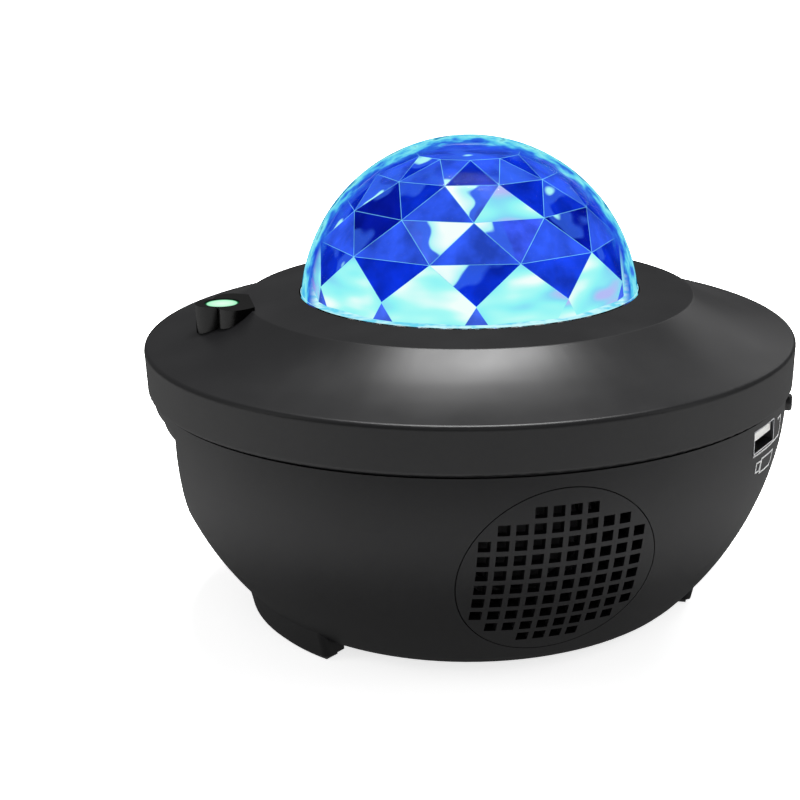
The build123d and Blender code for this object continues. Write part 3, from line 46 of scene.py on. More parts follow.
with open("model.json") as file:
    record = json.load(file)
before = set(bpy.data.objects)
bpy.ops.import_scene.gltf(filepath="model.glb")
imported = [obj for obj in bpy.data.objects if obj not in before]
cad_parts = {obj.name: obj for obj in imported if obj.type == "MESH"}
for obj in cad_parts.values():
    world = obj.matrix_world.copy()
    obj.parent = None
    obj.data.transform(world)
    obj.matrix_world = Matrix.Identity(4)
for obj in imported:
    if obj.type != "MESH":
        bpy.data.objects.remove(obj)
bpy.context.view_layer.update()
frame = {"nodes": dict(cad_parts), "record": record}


# ---------------------------------------------------------------- shared helpers
def linear(colour: str) -> tuple[float, float, float, float]:
    """Turn an sRGB hex colour into linear RGBA.

    Args:
        colour: Six hex digits, such as "2b2b2e".

    Returns:
        Red, green, blue and an alpha of 1, as the shader sockets take them.
    """
    parts = [int(colour[i:i + 2], 16) / 255 for i in (0, 2, 4)]
    curve = [c / 12.92 if c <= 0.04045 else ((c + 0.055) / 1.055) ** 2.4 for c in parts]
    return curve[0], curve[1], curve[2], 1.0


def per_mm(size_mm: float) -> float:
    """Return the texture scale at which a feature measures size_mm."""
    return 1 / (size_mm * MM)


def add_node(tree: bpy.types.NodeTree, kind: str, inputs: dict[Any, Any] | None = None,
             stops: Iterable[tuple[float, str]] = (), **settings: Any) -> bpy.types.Node:
    """Add one node with its settings and links.

    Args:
        tree: The node tree that takes the node.
        kind: Blender's type name of the node.
        inputs: Socket name or index to a value, an output socket, or a node whose first output is meant.
        stops: Positions and sRGB hex colours of a colour ramp.
        settings: Properties of the node.

    Returns:
        The new node.
    """
    made = tree.nodes.new(kind)
    for name, value in settings.items():
        setattr(made, name, value)
    for name, value in (inputs or {}).items():
        source = value.outputs[0] if isinstance(value, bpy.types.Node) else value
        if isinstance(source, bpy.types.NodeSocket):
            tree.links.new(source, made.inputs[name])
        else:
            made.inputs[name].default_value = source
    colours = list(stops)
    band = made.color_ramp.elements if colours else ()
    while len(band) < len(colours):
        band.new(0.5)
    for element, (position, colour) in zip(band, colours):
        element.position = position
        element.color = linear(colour)
    return made


def facet_place(tree: bpy.types.NodeTree) -> bpy.types.Node:
    """Shift object coordinates by the facet's own shift, so that no two facets show the same ripples.

    Args:
        tree: The material's node tree.

    Returns:
        The node that gives the shifted place.
    """
    place = add_node(tree, "ShaderNodeTexCoord").outputs["Object"]
    shift = add_node(tree, "ShaderNodeAttribute", attribute_name="shift").outputs["Color"]
    return add_node(tree, "ShaderNodeVectorMath", {0: place, 1: shift}, operation="ADD")


def background_rays(tree: bpy.types.NodeTree) -> bpy.types.Node:
    """Tell rays that show the background from those that light the object.

    Args:
        tree: The node tree of a material or of the world.

    Returns:
        A node that gives 1 for rays from the camera, straight or by way of gloss or glass, and 0 for others.
    """
    path = add_node(tree, "ShaderNodeLightPath").outputs
    gloss = add_node(tree, "ShaderNodeMath", {0: path["Is Camera Ray"], 1: path["Is Glossy Ray"]},
                     operation="MAXIMUM")
    return add_node(tree, "ShaderNodeMath", {0: gloss, 1: path["Is Transmission Ray"]}, operation="MAXIMUM")


# ---------------------------------------------------------------- finishes
@dataclass(frozen=True)
class Finish(ABC):
    """A finish that builds its own material."""

    name: str

    @abstractmethod
    def surface(self, tree: bpy.types.NodeTree) -> bpy.types.Node:
        """Build the nodes of the finish.

        Args:
            tree: The material's empty node tree.

        Returns:
            The shader node that shows.
        """

    def material(self) -> bpy.types.Material:
        """Make the material.

        Returns:
            A new material with the finish's nodes.
        """
        made = bpy.data.materials.new(self.name)
        made.use_nodes = True
        made.node_tree.nodes.clear()
        add_node(made.node_tree, "ShaderNodeOutputMaterial", {"Surface": self.surface(made.node_tree)})
        return made


@dataclass(frozen=True)
class MouldedPlastic(Finish):
    """Injection-moulded plastic: an even colour with the fine grain of a spark-eroded mould.

    The grain breaks up highlights, and faint flow variation keeps the roughness from being even. What it
    mirrors is set apart from its body colour, because a textured moulding mirrors less than a polished one.
    """

    colour: str
    roughness: float = 0.42
    grain_mm: float = 0.5       # drawn coarser than the real 0.05 mm, so that it shows
    grain_depth_mm: float = 0.004
    flow_mm: float = 18.0       # size of the patches where the melt flowed differently
    gloss: float = 0.04         # share of light mirrored straight on, as polished plastic of IOR 1.5 does
    edge_gloss: float = 0.25    # share mirrored where the surface is seen edge-on

    def surface(self, tree: bpy.types.NodeTree) -> bpy.types.Node:
        """Mix a matt body with a blurred mirror.

        Args:
            tree: The material's empty node tree.

        Returns:
            The mix of both.
        """
        place = add_node(tree, "ShaderNodeTexCoord").outputs["Object"]
        flow = add_node(tree, "ShaderNodeTexNoise", {"Vector": place, "Scale": per_mm(self.flow_mm),
                                                     "Detail": 3.0})
        spread = add_node(tree, "ShaderNodeMapRange",
                          {"Value": flow, "From Min": NOISE_LOW, "From Max": NOISE_HIGH,
                           "To Min": self.roughness - 0.03, "To Max": self.roughness + 0.04})
        grain = add_node(tree, "ShaderNodeTexNoise", {"Vector": place, "Scale": per_mm(self.grain_mm)})
        bump = add_node(tree, "ShaderNodeBump", {"Height": grain, "Distance": self.grain_depth_mm * MM,
                                                 "Strength": 0.6})
        facing = add_node(tree, "ShaderNodeLayerWeight", {"Blend": 0.5}).outputs["Facing"]
        share = add_node(tree, "ShaderNodeMapRange", {"Value": facing, "To Min": self.gloss,
                                                      "To Max": self.edge_gloss})
        body = add_node(tree, "ShaderNodeBsdfDiffuse", {"Color": linear(self.colour), "Normal": bump})
        mirror = add_node(tree, "ShaderNodeBsdfGlossy", {"Roughness": spread, "Normal": bump})
        return add_node(tree, "ShaderNodeMixShader", {0: share, 1: body, 2: mirror})


@dataclass(frozen=True)
class WorkedMetal(Finish):
    """Bare or plated metal, with fine scratches along one direction that stretch its highlights."""

    colour: str
    roughness: float = 0.3
    scratch_mm: float = 0.3
    squeeze: float = 0.08       # a scratch is about twelve times as long as it is wide
    scratch_depth_mm: float = 0.004

    def surface(self, tree: bpy.types.NodeTree) -> bpy.types.Node:
        """Roughen metal along its scratches.

        Args:
            tree: The material's empty node tree.

        Returns:
            The metal's shader.
        """
        place = add_node(tree, "ShaderNodeTexCoord").outputs["Object"]
        along = add_node(tree, "ShaderNodeMapping", {"Vector": place, "Scale": (1.0, 1.0, self.squeeze)})
        scratches = add_node(tree, "ShaderNodeTexNoise", {"Vector": along, "Scale": per_mm(self.scratch_mm),
                                                          "Detail": 4.0})
        spread = add_node(tree, "ShaderNodeMapRange", {"Value": scratches, "To Min": self.roughness - 0.08,
                                                       "To Max": self.roughness + 0.12})
        bump = add_node(tree, "ShaderNodeBump", {"Height": scratches, "Distance": self.scratch_depth_mm * MM,
                                                 "Strength": 0.3})
        return add_node(tree, "ShaderNodeBsdfPrincipled", {"Base Color": linear(self.colour), "Metallic": 1.0,
                                                           "Roughness": spread, "Normal": bump})


@dataclass(frozen=True)
class SoftRubber(Finish):
    """Moulded rubber, foam, paper or sintered powder: matt, with a faint pale bloom and a coarse grain."""

    colour: str
    bloom: str
    grain_mm: float = 0.8
    grain_depth_mm: float = 0.03
    bloom_mm: float = 6.0

    def surface(self, tree: bpy.types.NodeTree) -> bpy.types.Node:
        """Cloud a matt colour with its bloom.

        Args:
            tree: The material's empty node tree.

        Returns:
            The rubber's shader.
        """
        place = add_node(tree, "ShaderNodeTexCoord").outputs["Object"]
        patches = add_node(tree, "ShaderNodeTexNoise", {"Vector": place, "Scale": per_mm(self.bloom_mm),
                                                        "Detail": 4.0})
        tint = add_node(tree, "ShaderNodeValToRGB", {"Fac": patches},
                        ((0.35, self.colour), (0.75, self.bloom)))
        grain = add_node(tree, "ShaderNodeTexNoise", {"Vector": place, "Scale": per_mm(self.grain_mm)})
        bump = add_node(tree, "ShaderNodeBump", {"Height": grain, "Distance": self.grain_depth_mm * MM,
                                                 "Strength": 0.5})
        return add_node(tree, "ShaderNodeBsdfPrincipled", {"Base Color": tint, "Roughness": 0.8, "IOR": 1.52,
                                                           "Normal": bump})


@dataclass(frozen=True)
class CircuitBoard(Finish):
    """Glass-epoxy board under solder mask: copper tracks show as slightly lighter lanes."""

    mask: str = "0c4a22"
    track: str = "1a6a35"
    track_mm: float = 2.2

    def surface(self, tree: bpy.types.NodeTree) -> bpy.types.Node:
        """Draw tracks under the mask.

        Args:
            tree: The material's empty node tree.

        Returns:
            The board's shader.
        """
        place = add_node(tree, "ShaderNodeTexCoord").outputs["Object"]
        lanes = add_node(tree, "ShaderNodeTexVoronoi", {"Vector": place, "Scale": per_mm(self.track_mm)},
                         distance="MANHATTAN")
        tint = add_node(tree, "ShaderNodeValToRGB", {"Fac": lanes}, ((0.28, self.track), (0.36, self.mask)))
        return add_node(tree, "ShaderNodeBsdfPrincipled", {"Base Color": tint, "Roughness": 0.3, "IOR": 1.5})


@dataclass(frozen=True)
class ClearAcrylic(Finish):
    """Polished clear acrylic, tinted very faintly, with slight waviness from moulding."""

    colour: str = "eef4ff"
    roughness: float = 0.04
    wave_mm: float = 5.0
    wave_depth_mm: float = 0.02

    def surface(self, tree: bpy.types.NodeTree) -> bpy.types.Node:
        """Bend clear acrylic a little.

        Args:
            tree: The material's empty node tree.

        Returns:
            The acrylic's shader.
        """
        place = add_node(tree, "ShaderNodeTexCoord").outputs["Object"]
        waves = add_node(tree, "ShaderNodeTexNoise", {"Vector": place, "Scale": per_mm(self.wave_mm)})
        bump = add_node(tree, "ShaderNodeBump", {"Height": waves, "Distance": self.wave_depth_mm * MM,
                                                 "Strength": 0.2})
        return add_node(tree, "ShaderNodeBsdfPrincipled",
                        {"Base Color": linear(self.colour), "Roughness": self.roughness, "IOR": 1.49,
                         "Transmission Weight": 1.0, "Normal": bump})


@dataclass(frozen=True)
class DomeSkin(Finish):
    """Outer skin of the dome: clear polished acrylic that picks up cyan light where it is seen edge-on."""

    name: str = "dome_outer_acrylic"
    rim_start: float = 0.58     # about where the view passes beside the facets
    rim_full: float = 0.70
    streak_mm: float = 5.0
    streak_shift: float = 0.14  # how far streaks move the bands of light
    bands: tuple[tuple[float, str], ...] = ((0.60, "1d46d8"), (0.72, "2f7be6"), (0.80, "59cdf0"),
                                            (0.90, "8ff0f4"), (0.98, "1c8fc0"))
    ior: float = 1.3            # below acrylic's own 1.49, as faint as the dome's gloss is over its glow
    coat: float = 0.03          # share of the gloss that is kept

    def surface(self, tree: bpy.types.NodeTree) -> bpy.types.Node:
        """Lay a glossy coat over a clear body with a glow at its edge.

        Args:
            tree: The material's empty node tree.

        Returns:
            The mix of coat and body.
        """
        facing = add_node(tree, "ShaderNodeLayerWeight", {"Blend": 0.5}).outputs["Facing"]
        edge = add_node(tree, "ShaderNodeMapRange", {"Value": facing, "From Min": self.rim_start,
                                                     "From Max": self.rim_full})
        clear = add_node(tree, "ShaderNodeBsdfTransparent", {"Color": WHITE})
        place = add_node(tree, "ShaderNodeTexCoord").outputs["Object"]
        wisps = add_node(tree, "ShaderNodeTexNoise", {"Vector": place, "Scale": per_mm(self.streak_mm),
                                                      "Detail": 3.0})
        streaks = add_node(tree, "ShaderNodeMapRange", {"Value": wisps, "From Min": NOISE_LOW,
                                                        "From Max": NOISE_HIGH, "To Min": -self.streak_shift,
                                                        "To Max": self.streak_shift})
        bent = add_node(tree, "ShaderNodeMath", {0: facing, 1: streaks}, operation="ADD")
        tint = add_node(tree, "ShaderNodeValToRGB", {"Fac": bent}, self.bands)
        glow = add_node(tree, "ShaderNodeEmission", {"Color": tint, "Strength": 1.0})
        body = add_node(tree, "ShaderNodeMixShader", {0: edge, 1: clear, 2: glow})
        fresnel = add_node(tree, "ShaderNodeFresnel", {"IOR": self.ior})
        share = add_node(tree, "ShaderNodeMath", {0: fresnel, 1: self.coat}, operation="MULTIPLY")
        coat = add_node(tree, "ShaderNodeBsdfGlossy", {"Roughness": 0.06})
        return add_node(tree, "ShaderNodeMixShader", {0: share, 1: body, 2: coat})


@dataclass(frozen=True)
class LitFacets(Finish):
    """Inner faces of the dome, lit from below: each glows in its own painted tone, broken by crisp painted
    reflections.
    """

    name: str = "dome_lit_facets"
    # ice and glare colour the painted reflections: pale cyan, and white at their cores
    ice: str = "a5f4f8"
    glare: str = "f4fffd"
    veil: str = "3a6cf2"        # faint reflections at the edge of the bright ones
    ripple_mm: float = 10.0
    cloud_mm: float = 8.0
    veil_edge: tuple[float, float] = (0.47, 0.54)       # height of the ripples where it starts and is full
    veil_share: float = 0.55
    patch_edge: tuple[float, float] = (0.63, 0.67)
    glare_edge: tuple[float, float] = (0.66, 0.82)
    cloud_edge: tuple[float, float] = (0.32, 0.68)
    cloud_light: tuple[float, float] = (0.6, 1.3)       # brightness of the darkest and the lightest cloud

    def surface(self, tree: bpy.types.NodeTree) -> bpy.types.Node:
        """Build the glow from each face's tone, and from ripples that are shifted from face to face.

        Args:
            tree: The material's empty node tree.

        Returns:
            The glow.
        """
        tone = add_node(tree, "ShaderNodeAttribute", attribute_name="tone").outputs["Color"]
        gain = add_node(tree, "ShaderNodeAttribute", attribute_name="gain").outputs["Fac"]
        place = facet_place(tree)
        folds = add_node(tree, "ShaderNodeTexNoise", {"Vector": place, "Scale": per_mm(self.ripple_mm),
                                                      "Detail": 1.0})
        height = add_node(tree, "ShaderNodeMath", {0: folds, 1: gain}, operation="ADD")
        patch = add_node(tree, "ShaderNodeMapRange", {"Value": height, "From Min": self.patch_edge[0],
                                                      "From Max": self.patch_edge[1]},
                         interpolation_type="SMOOTHSTEP")
        core = add_node(tree, "ShaderNodeMapRange", {"Value": height, "From Min": self.glare_edge[0],
                                                     "From Max": self.glare_edge[1]})
        bright = add_node(tree, "ShaderNodeMix", {0: core, 6: linear(self.ice), 7: linear(self.glare)},
                          data_type="RGBA").outputs[2]
        clouds = add_node(tree, "ShaderNodeTexNoise", {"Vector": place, "Scale": per_mm(self.cloud_mm),
                                                       "Detail": 3.0})
        shade = add_node(tree, "ShaderNodeMapRange", {"Value": clouds, "From Min": self.cloud_edge[0],
                                                      "From Max": self.cloud_edge[1],
                                                      "To Min": self.cloud_light[0],
                                                      "To Max": self.cloud_light[1]})
        lit = add_node(tree, "ShaderNodeVectorMath", {0: tone, "Scale": shade}, operation="SCALE")
        haze = add_node(tree, "ShaderNodeMapRange", {"Value": height, "From Min": self.veil_edge[0],
                                                     "From Max": self.veil_edge[1],
                                                     "To Max": self.veil_share},
                        interpolation_type="SMOOTHSTEP")
        veiled = add_node(tree, "ShaderNodeMix", {0: haze, 6: lit, 7: linear(self.veil)},
                          data_type="RGBA").outputs[2]
        colour = add_node(tree, "ShaderNodeMix", {0: patch, 6: veiled, 7: bright},
                          data_type="RGBA").outputs[2]
        return add_node(tree, "ShaderNodeEmission", {"Color": colour, "Strength": 1.0})


@dataclass(frozen=True)
class BrightFacets(Finish):
    """Faces that throw the lamp straight forward: cyan-white, with soft lavender streaks along them."""

    name: str = "dome_bright_facets"
    streak_mm: float = 17.0
    squeeze: float = 2.8        # a streak is this much longer than it is high
    stops: tuple[tuple[float, str], ...] = ((0.30, "b4bdf6"), (0.39, "86dcf6"), (0.47, "8ff4f6"),
                                            (0.56, "a9fbf6"), (0.68, "f0fffc"))

    def surface(self, tree: bpy.types.NodeTree) -> bpy.types.Node:
        """Build the glow from streaks that lie along the dome's girth.

        Args:
            tree: The material's empty node tree.

        Returns:
            The glow.
        """
        along = add_node(tree, "ShaderNodeMapping", {"Vector": facet_place(tree),
                                                     "Scale": (1.0, 1.0, self.squeeze)})
        streaks = add_node(tree, "ShaderNodeTexNoise", {"Vector": along, "Scale": per_mm(self.streak_mm),
                                                        "Detail": 1.2})
        tint = add_node(tree, "ShaderNodeValToRGB", {"Fac": streaks}, self.stops)
        return add_node(tree, "ShaderNodeEmission", {"Color": tint, "Strength": 1.0})


@dataclass(frozen=True)
class WindowGlow(Finish):
    """Diffusing window over a lit laser: white-green in the middle, dark green at its rim."""

    name: str = "laser_window_glow"
    centre_mm: tuple[float, float, float] = (-61.1, -14.7, 0.0)     # the window's middle, seen from above
    radius_mm: float = 4.3
    stops: tuple[tuple[float, str], ...] = ((0.0, "e6fff0"), (0.62, "c9fddc"), (0.84, "a4f7c6"),
                                            (0.90, "14603a"), (0.99, "0a2a18"))

    def surface(self, tree: bpy.types.NodeTree) -> bpy.types.Node:
        """Build the glow from the distance to the window's middle.

        Args:
            tree: The material's empty node tree.

        Returns:
            The glow.
        """
        scale = per_mm(self.radius_mm)
        middle = tuple(-length * MM * scale for length in self.centre_mm)
        place = add_node(tree, "ShaderNodeTexCoord").outputs["Object"]
        moved = add_node(tree, "ShaderNodeMapping", {"Vector": place, "Location": middle,
                                                     "Scale": (scale, scale, 0.0)})
        reach = add_node(tree, "ShaderNodeVectorMath", {0: moved}, operation="LENGTH").outputs["Value"]
        tint = add_node(tree, "ShaderNodeValToRGB", {"Fac": reach}, self.stops)
        return add_node(tree, "ShaderNodeEmission", {"Color": tint, "Strength": 1.0})


@dataclass(frozen=True)
class SteadyGlow(Finish):
    """A lit surface of one colour, clouded with a second."""

    colour: str
    cloud: str
    cloud_mm: float = 3.0

    def surface(self, tree: bpy.types.NodeTree) -> bpy.types.Node:
        """Build the clouded glow.

        Args:
            tree: The material's empty node tree.

        Returns:
            The glow.
        """
        place = add_node(tree, "ShaderNodeTexCoord").outputs["Object"]
        clouds = add_node(tree, "ShaderNodeTexNoise", {"Vector": place, "Scale": per_mm(self.cloud_mm)})
        tint = add_node(tree, "ShaderNodeValToRGB", {"Fac": clouds}, ((0.35, self.cloud), (0.6, self.colour)))
        return add_node(tree, "ShaderNodeEmission", {"Color": tint, "Strength": 1.0})


@dataclass(frozen=True)
class PrintedInk(Finish):
    """Pad-printed white ink: nearly matt, slightly uneven in thickness."""

    name: str = "printed_white_ink"
    colour: str = "e6e6e6"
    thin: str = "c9c9c9"
    mottle_mm: float = 0.6

    def surface(self, tree: bpy.types.NodeTree) -> bpy.types.Node:
        """Grey the ink where it is thin.

        Args:
            tree: The material's empty node tree.

        Returns:
            The ink's shader.
        """
        place = add_node(tree, "ShaderNodeTexCoord").outputs["Object"]
        mottle = add_node(tree, "ShaderNodeTexNoise", {"Vector": place, "Scale": per_mm(self.mottle_mm)})
        tint = add_node(tree, "ShaderNodeValToRGB", {"Fac": mottle}, ((0.3, self.thin), (0.55, self.colour)))
        return add_node(tree, "ShaderNodeBsdfPrincipled", {"Base Color": tint, "Roughness": 0.6})


@dataclass(frozen=True)
class PaleCard(Finish):
    """Matt white card: it takes the object's shadow, and is evenly white farther away."""

    name: str = "pale_floor"
    colour: str = "fafafa"
    bounce: str = "6e6e6e"      # its colour for the light that it throws back on the object
    near: float = 0.14          # it starts to grow whiter here, in metres from its middle
    far: float = 0.40           # and is fully white from here on
    base_glow: float = 0.75

    def surface(self, tree: bpy.types.NodeTree) -> bpy.types.Node:
        """Add a white glow, for rays that show the background alone, to matt card.

        Args:
            tree: The material's empty node tree.

        Returns:
            The sum of both.
        """
        seen = background_rays(tree)
        place = add_node(tree, "ShaderNodeTexCoord").outputs["Object"]
        reach = add_node(tree, "ShaderNodeVectorMath", {0: place}, operation="LENGTH").outputs["Value"]
        white = add_node(tree, "ShaderNodeMapRange", {"Value": reach, "From Min": self.near,
                                                      "From Max": self.far, "To Min": self.base_glow})
        strength = add_node(tree, "ShaderNodeMath", {0: white, 1: seen}, operation="MULTIPLY")
        colour = add_node(tree, "ShaderNodeMix", {0: seen, 6: linear(self.bounce), 7: linear(self.colour)},
                          data_type="RGBA").outputs[2]
        card = add_node(tree, "ShaderNodeBsdfDiffuse", {"Color": colour})
        glow = add_node(tree, "ShaderNodeEmission", {"Color": WHITE, "Strength": strength})
        return add_node(tree, "ShaderNodeAddShader", {0: card, 1: glow})


# The finish of each material slot of the record.
FINISHES: dict[str, Finish] = {
    "housing": MouldedPlastic("black_abs_satin", "0c0c0d", 0.42, gloss=0.007, edge_gloss=0.032),
    "cover": MouldedPlastic("black_abs_cover", "0b0b0c", 0.34, gloss=0.011, edge_gloss=0.026),
    "hood": MouldedPlastic("black_abs_gloss", "050505", 0.18, grain_depth_mm=0.001, gloss=0.01,
                           edge_gloss=0.02),
    "laser_glass": WindowGlow(),
    "dome": ClearAcrylic("dome_flange_acrylic"),
    "inner_plastic": MouldedPlastic("inner_black_abs", "1c1c1e", 0.55),
    "foam": SoftRubber("closed_cell_foam", "161616", "242424"),
    "pressed_steel": MouldedPlastic("blackened_steel", "1b1b1d", 0.35),
    "ferrite": SoftRubber("sintered_ferrite", "2c2c2e", "3a3a3c"),
    "rubber": SoftRubber("surround_rubber", "121212", "1d1d1d"),
    "cone": SoftRubber("paper_cone", "101011", "1a1a1c", 0.5),
    "gear_plastic": MouldedPlastic("natural_acetal", "e4e2da", 0.35),
    "clear_lens": ClearAcrylic("clear_acrylic"),
    "steel": WorkedMetal("zinc_plated_steel", "b9b8b2"),
    "motor": WorkedMetal("motor_can_steel", "a9aaab", 0.35),
    "brass": WorkedMetal("turned_brass", "c9a35a", 0.25),
    "aluminium": WorkedMetal("extruded_aluminium", "c6c8ca", 0.4),
    "board": CircuitBoard("solder_mask_green"),
    "emitter": SteadyGlow("lit_emitter", "e8f4ff", "9fc4ff"),
    "chip": MouldedPlastic("black_epoxy", "151516", 0.5),
    "capacitor": MouldedPlastic("capacitor_sleeve", "1a2440", 0.3),
    "shield": WorkedMetal("tinned_shield", "c2c1bc", 0.3),
    "connector": MouldedPlastic("natural_nylon", "d9d8d2", 0.4),
    "port_steel": WorkedMetal("dark_nickel_plate", "4a4b4e", 0.35),
    "button": MouldedPlastic("black_abs_button", "0e0e0f", 0.3, gloss=0.012, edge_gloss=0.04),
    "pad": SoftRubber("foot_rubber", "161616", "222222"),
}


@functools.cache
def material_of(slot: str) -> bpy.types.Material:
    """Return the material of a slot, which is made once and shared."""
    return FINISHES[slot].material()


# ---------------------------------------------------------------- pieces
def mesh_object(mesh: bmesh.types.BMesh, name: str,
                materials: Iterable[bpy.types.Material]) -> bpy.types.Object:
    """Turn a bmesh into an object of the scene.

    Args:
        mesh: The shape, in metres, in place. It is freed.
        name: Name of the object.
        materials: Its materials in order of their index.

    Returns:
        The new object.
    """
    data = bpy.data.meshes.new(name)
    mesh.to_mesh(data)
    mesh.free()
    for material in materials:
        data.materials.append(material)
    made = bpy.data.objects.new(name, data)
    bpy.context.scene.collection.objects.link(made)
    return made


def emit_piece(mesh: bmesh.types.BMesh, name: str, materials: Iterable[bpy.types.Material],
               smooth: bool = True) -> bpy.types.Object:
    """Turn a bmesh into a finished piece that rides on the housing.

    Args:
        mesh: The shape, in metres, in place. It is freed.
        name: Name of the piece.
        materials: Its materials in order of their index.
        smooth: Whether its faces are shaded smooth.

    Returns:
        The new object.
    """
    for face in mesh.faces:
        face.smooth = smooth
    made = mesh_object(mesh, name, materials)
    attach(made, HOUSING)
    LOG.info("made %s: %d faces on %s", name, len(made.data.polygons), HOUSING)
    return made


def spun(path: Iterable[tuple[float, float]], steps: int) -> bmesh.types.BMesh:
    """Spin a profile about the vertical axis.

    Args:
        path: Radius and height of each of its points, in mm.
        steps: Faces round the axis.

    Returns:
        The shape, in metres, with its doubles merged and its faces turned the same way.
    """
    mesh = bmesh.new()
    verts = [mesh.verts.new((reach * MM, 0.0, height * MM)) for reach, height in path]
    edges = [mesh.edges.new(pair) for pair in zip(verts, verts[1:])]
    bmesh.ops.spin(mesh, geom=verts + edges, cent=(0, 0, 0), axis=(0, 0, 1), angle=2 * math.pi, steps=steps,
                   use_merge=True)
    bmesh.ops.remove_doubles(mesh, verts=mesh.verts[:], dist=MERGE_DISTANCE)
    bmesh.ops.recalc_face_normals(mesh, faces=mesh.faces[:])
    return mesh


class SubAssembly(ABC):
    """Something that is built and dressed in one go."""

    @abstractmethod
    def build(self) -> None:
        """Make its pieces and dress them."""


class CadFinishes(SubAssembly):
    """Dresses every CAD node in the finish of its material slot."""

    def build(self) -> None:
        """Assign one material to each node."""
        for entry in frame["record"]["subparts"]:
            piece = frame["nodes"][entry["node"]]
            material = material_of(entry["material_slot"])
            piece.data.materials.clear()
            piece.data.materials.append(material)
            LOG.info("dressed %s in %s", piece.name, material.name)


class Tone(Enum):
    """Painted glow of the dome's facets, as sRGB hex colours: how bright each facet shows, lit from below."""

    ICE = "8ff0f5"
    SKY = "4468ea"
    VIVID = "4060ff"
    AZURE = "2f57e8"
    ROYAL = "1840e0"
    COBALT = "0a2fcf"
    NAVY = "0518a0"
    LINE = "7cd8ff"


@dataclass(frozen=True)
class FacetLook:
    """Painted glow of one facet, and where bright patches of painted reflection gather in it.

    Attributes:
        tone: The colour it glows in, painted light from the lamp below.
        boost: Added to the ripples; at 0 few patches show, at 0.15 they cover about half.
        lean: Growth of the boost to the right and upwards, from the middle to the farthest corner.
    """

    tone: Tone
    boost: float = -0.3
    lean: tuple[float, float] = (0.0, 0.0)


class Band(Enum):
    """Rows of facets, from the base up, by the number of corner rings below their middles."""

    SKIRT = 0
    LOW = 1
    MIDDLE = 2
    HIGH = 3
    UPPER = 4
    CAP = 5


# Painted glow of the facets at the front, by row and by half steps to the right of the front. In a bright
# facet no patches show.
FRONT_LOOKS: dict[tuple[Band, int], FacetLook] = {
    (Band.SKIRT, 2): FacetLook(Tone.ICE),
    (Band.LOW, -2): FacetLook(Tone.COBALT),
    (Band.LOW, 0): FacetLook(Tone.COBALT, -0.02, (-0.3, 0.24)),
    (Band.LOW, 2): FacetLook(Tone.ROYAL),
    (Band.MIDDLE, -3): FacetLook(Tone.NAVY, -0.09, (-0.12, -0.05)),
    (Band.MIDDLE, -1): FacetLook(Tone.SKY, 0.12, (0.2, 0.22)),
    (Band.MIDDLE, 1): FacetLook(Tone.VIVID, -0.02, (-0.36, 0.14)),
    (Band.MIDDLE, 3): FacetLook(Tone.NAVY, -0.1, (0.1, 0.0)),
    (Band.HIGH, -3): FacetLook(Tone.NAVY, -0.14),
    (Band.HIGH, -2): FacetLook(Tone.COBALT, -0.12, (-0.1, 0.12)),
    (Band.HIGH, -1): FacetLook(Tone.AZURE),
    (Band.HIGH, 0): FacetLook(Tone.SKY, 0.06, (-0.36, 0.1)),
    (Band.HIGH, 1): FacetLook(Tone.ICE),
    (Band.HIGH, 2): FacetLook(Tone.COBALT, -0.1, (0.0, 0.12)),
    (Band.HIGH, 3): FacetLook(Tone.COBALT, -0.08, (-0.1, 0.1)),
    (Band.UPPER, 0): FacetLook(Tone.COBALT),
    (Band.UPPER, -1): FacetLook(Tone.AZURE, -0.06, (0.05, -0.16)),
    (Band.UPPER, 1): FacetLook(Tone.AZURE, -0.06, (0.0, -0.16)),
}
# All other facets, by row: the look of the even and of the odd half steps.
OTHER_LOOKS: dict[Band, tuple[FacetLook, FacetLook]] = {
    Band.SKIRT: (FacetLook(Tone.SKY), FacetLook(Tone.ICE)),
    Band.LOW: (FacetLook(Tone.COBALT, -0.1, (0.1, 0.1)), FacetLook(Tone.ICE)),
    Band.MIDDLE: (FacetLook(Tone.AZURE), FacetLook(Tone.COBALT, -0.02)),
    Band.HIGH: (FacetLook(Tone.AZURE, -0.04, (0.0, -0.1)), FacetLook(Tone.COBALT, 0.02)),
    Band.UPPER: (FacetLook(Tone.AZURE, -0.05, (0.0, -0.12)), FacetLook(Tone.COBALT, 0.0, (0.0, 0.12))),
    Band.CAP: (FacetLook(Tone.AZURE, -0.04, (0.0, -0.42)),) * 2,
}
EDGE_LOOK = FacetLook(Tone.LINE, -1.0)      # painted line of light round a facet, which no patch reaches
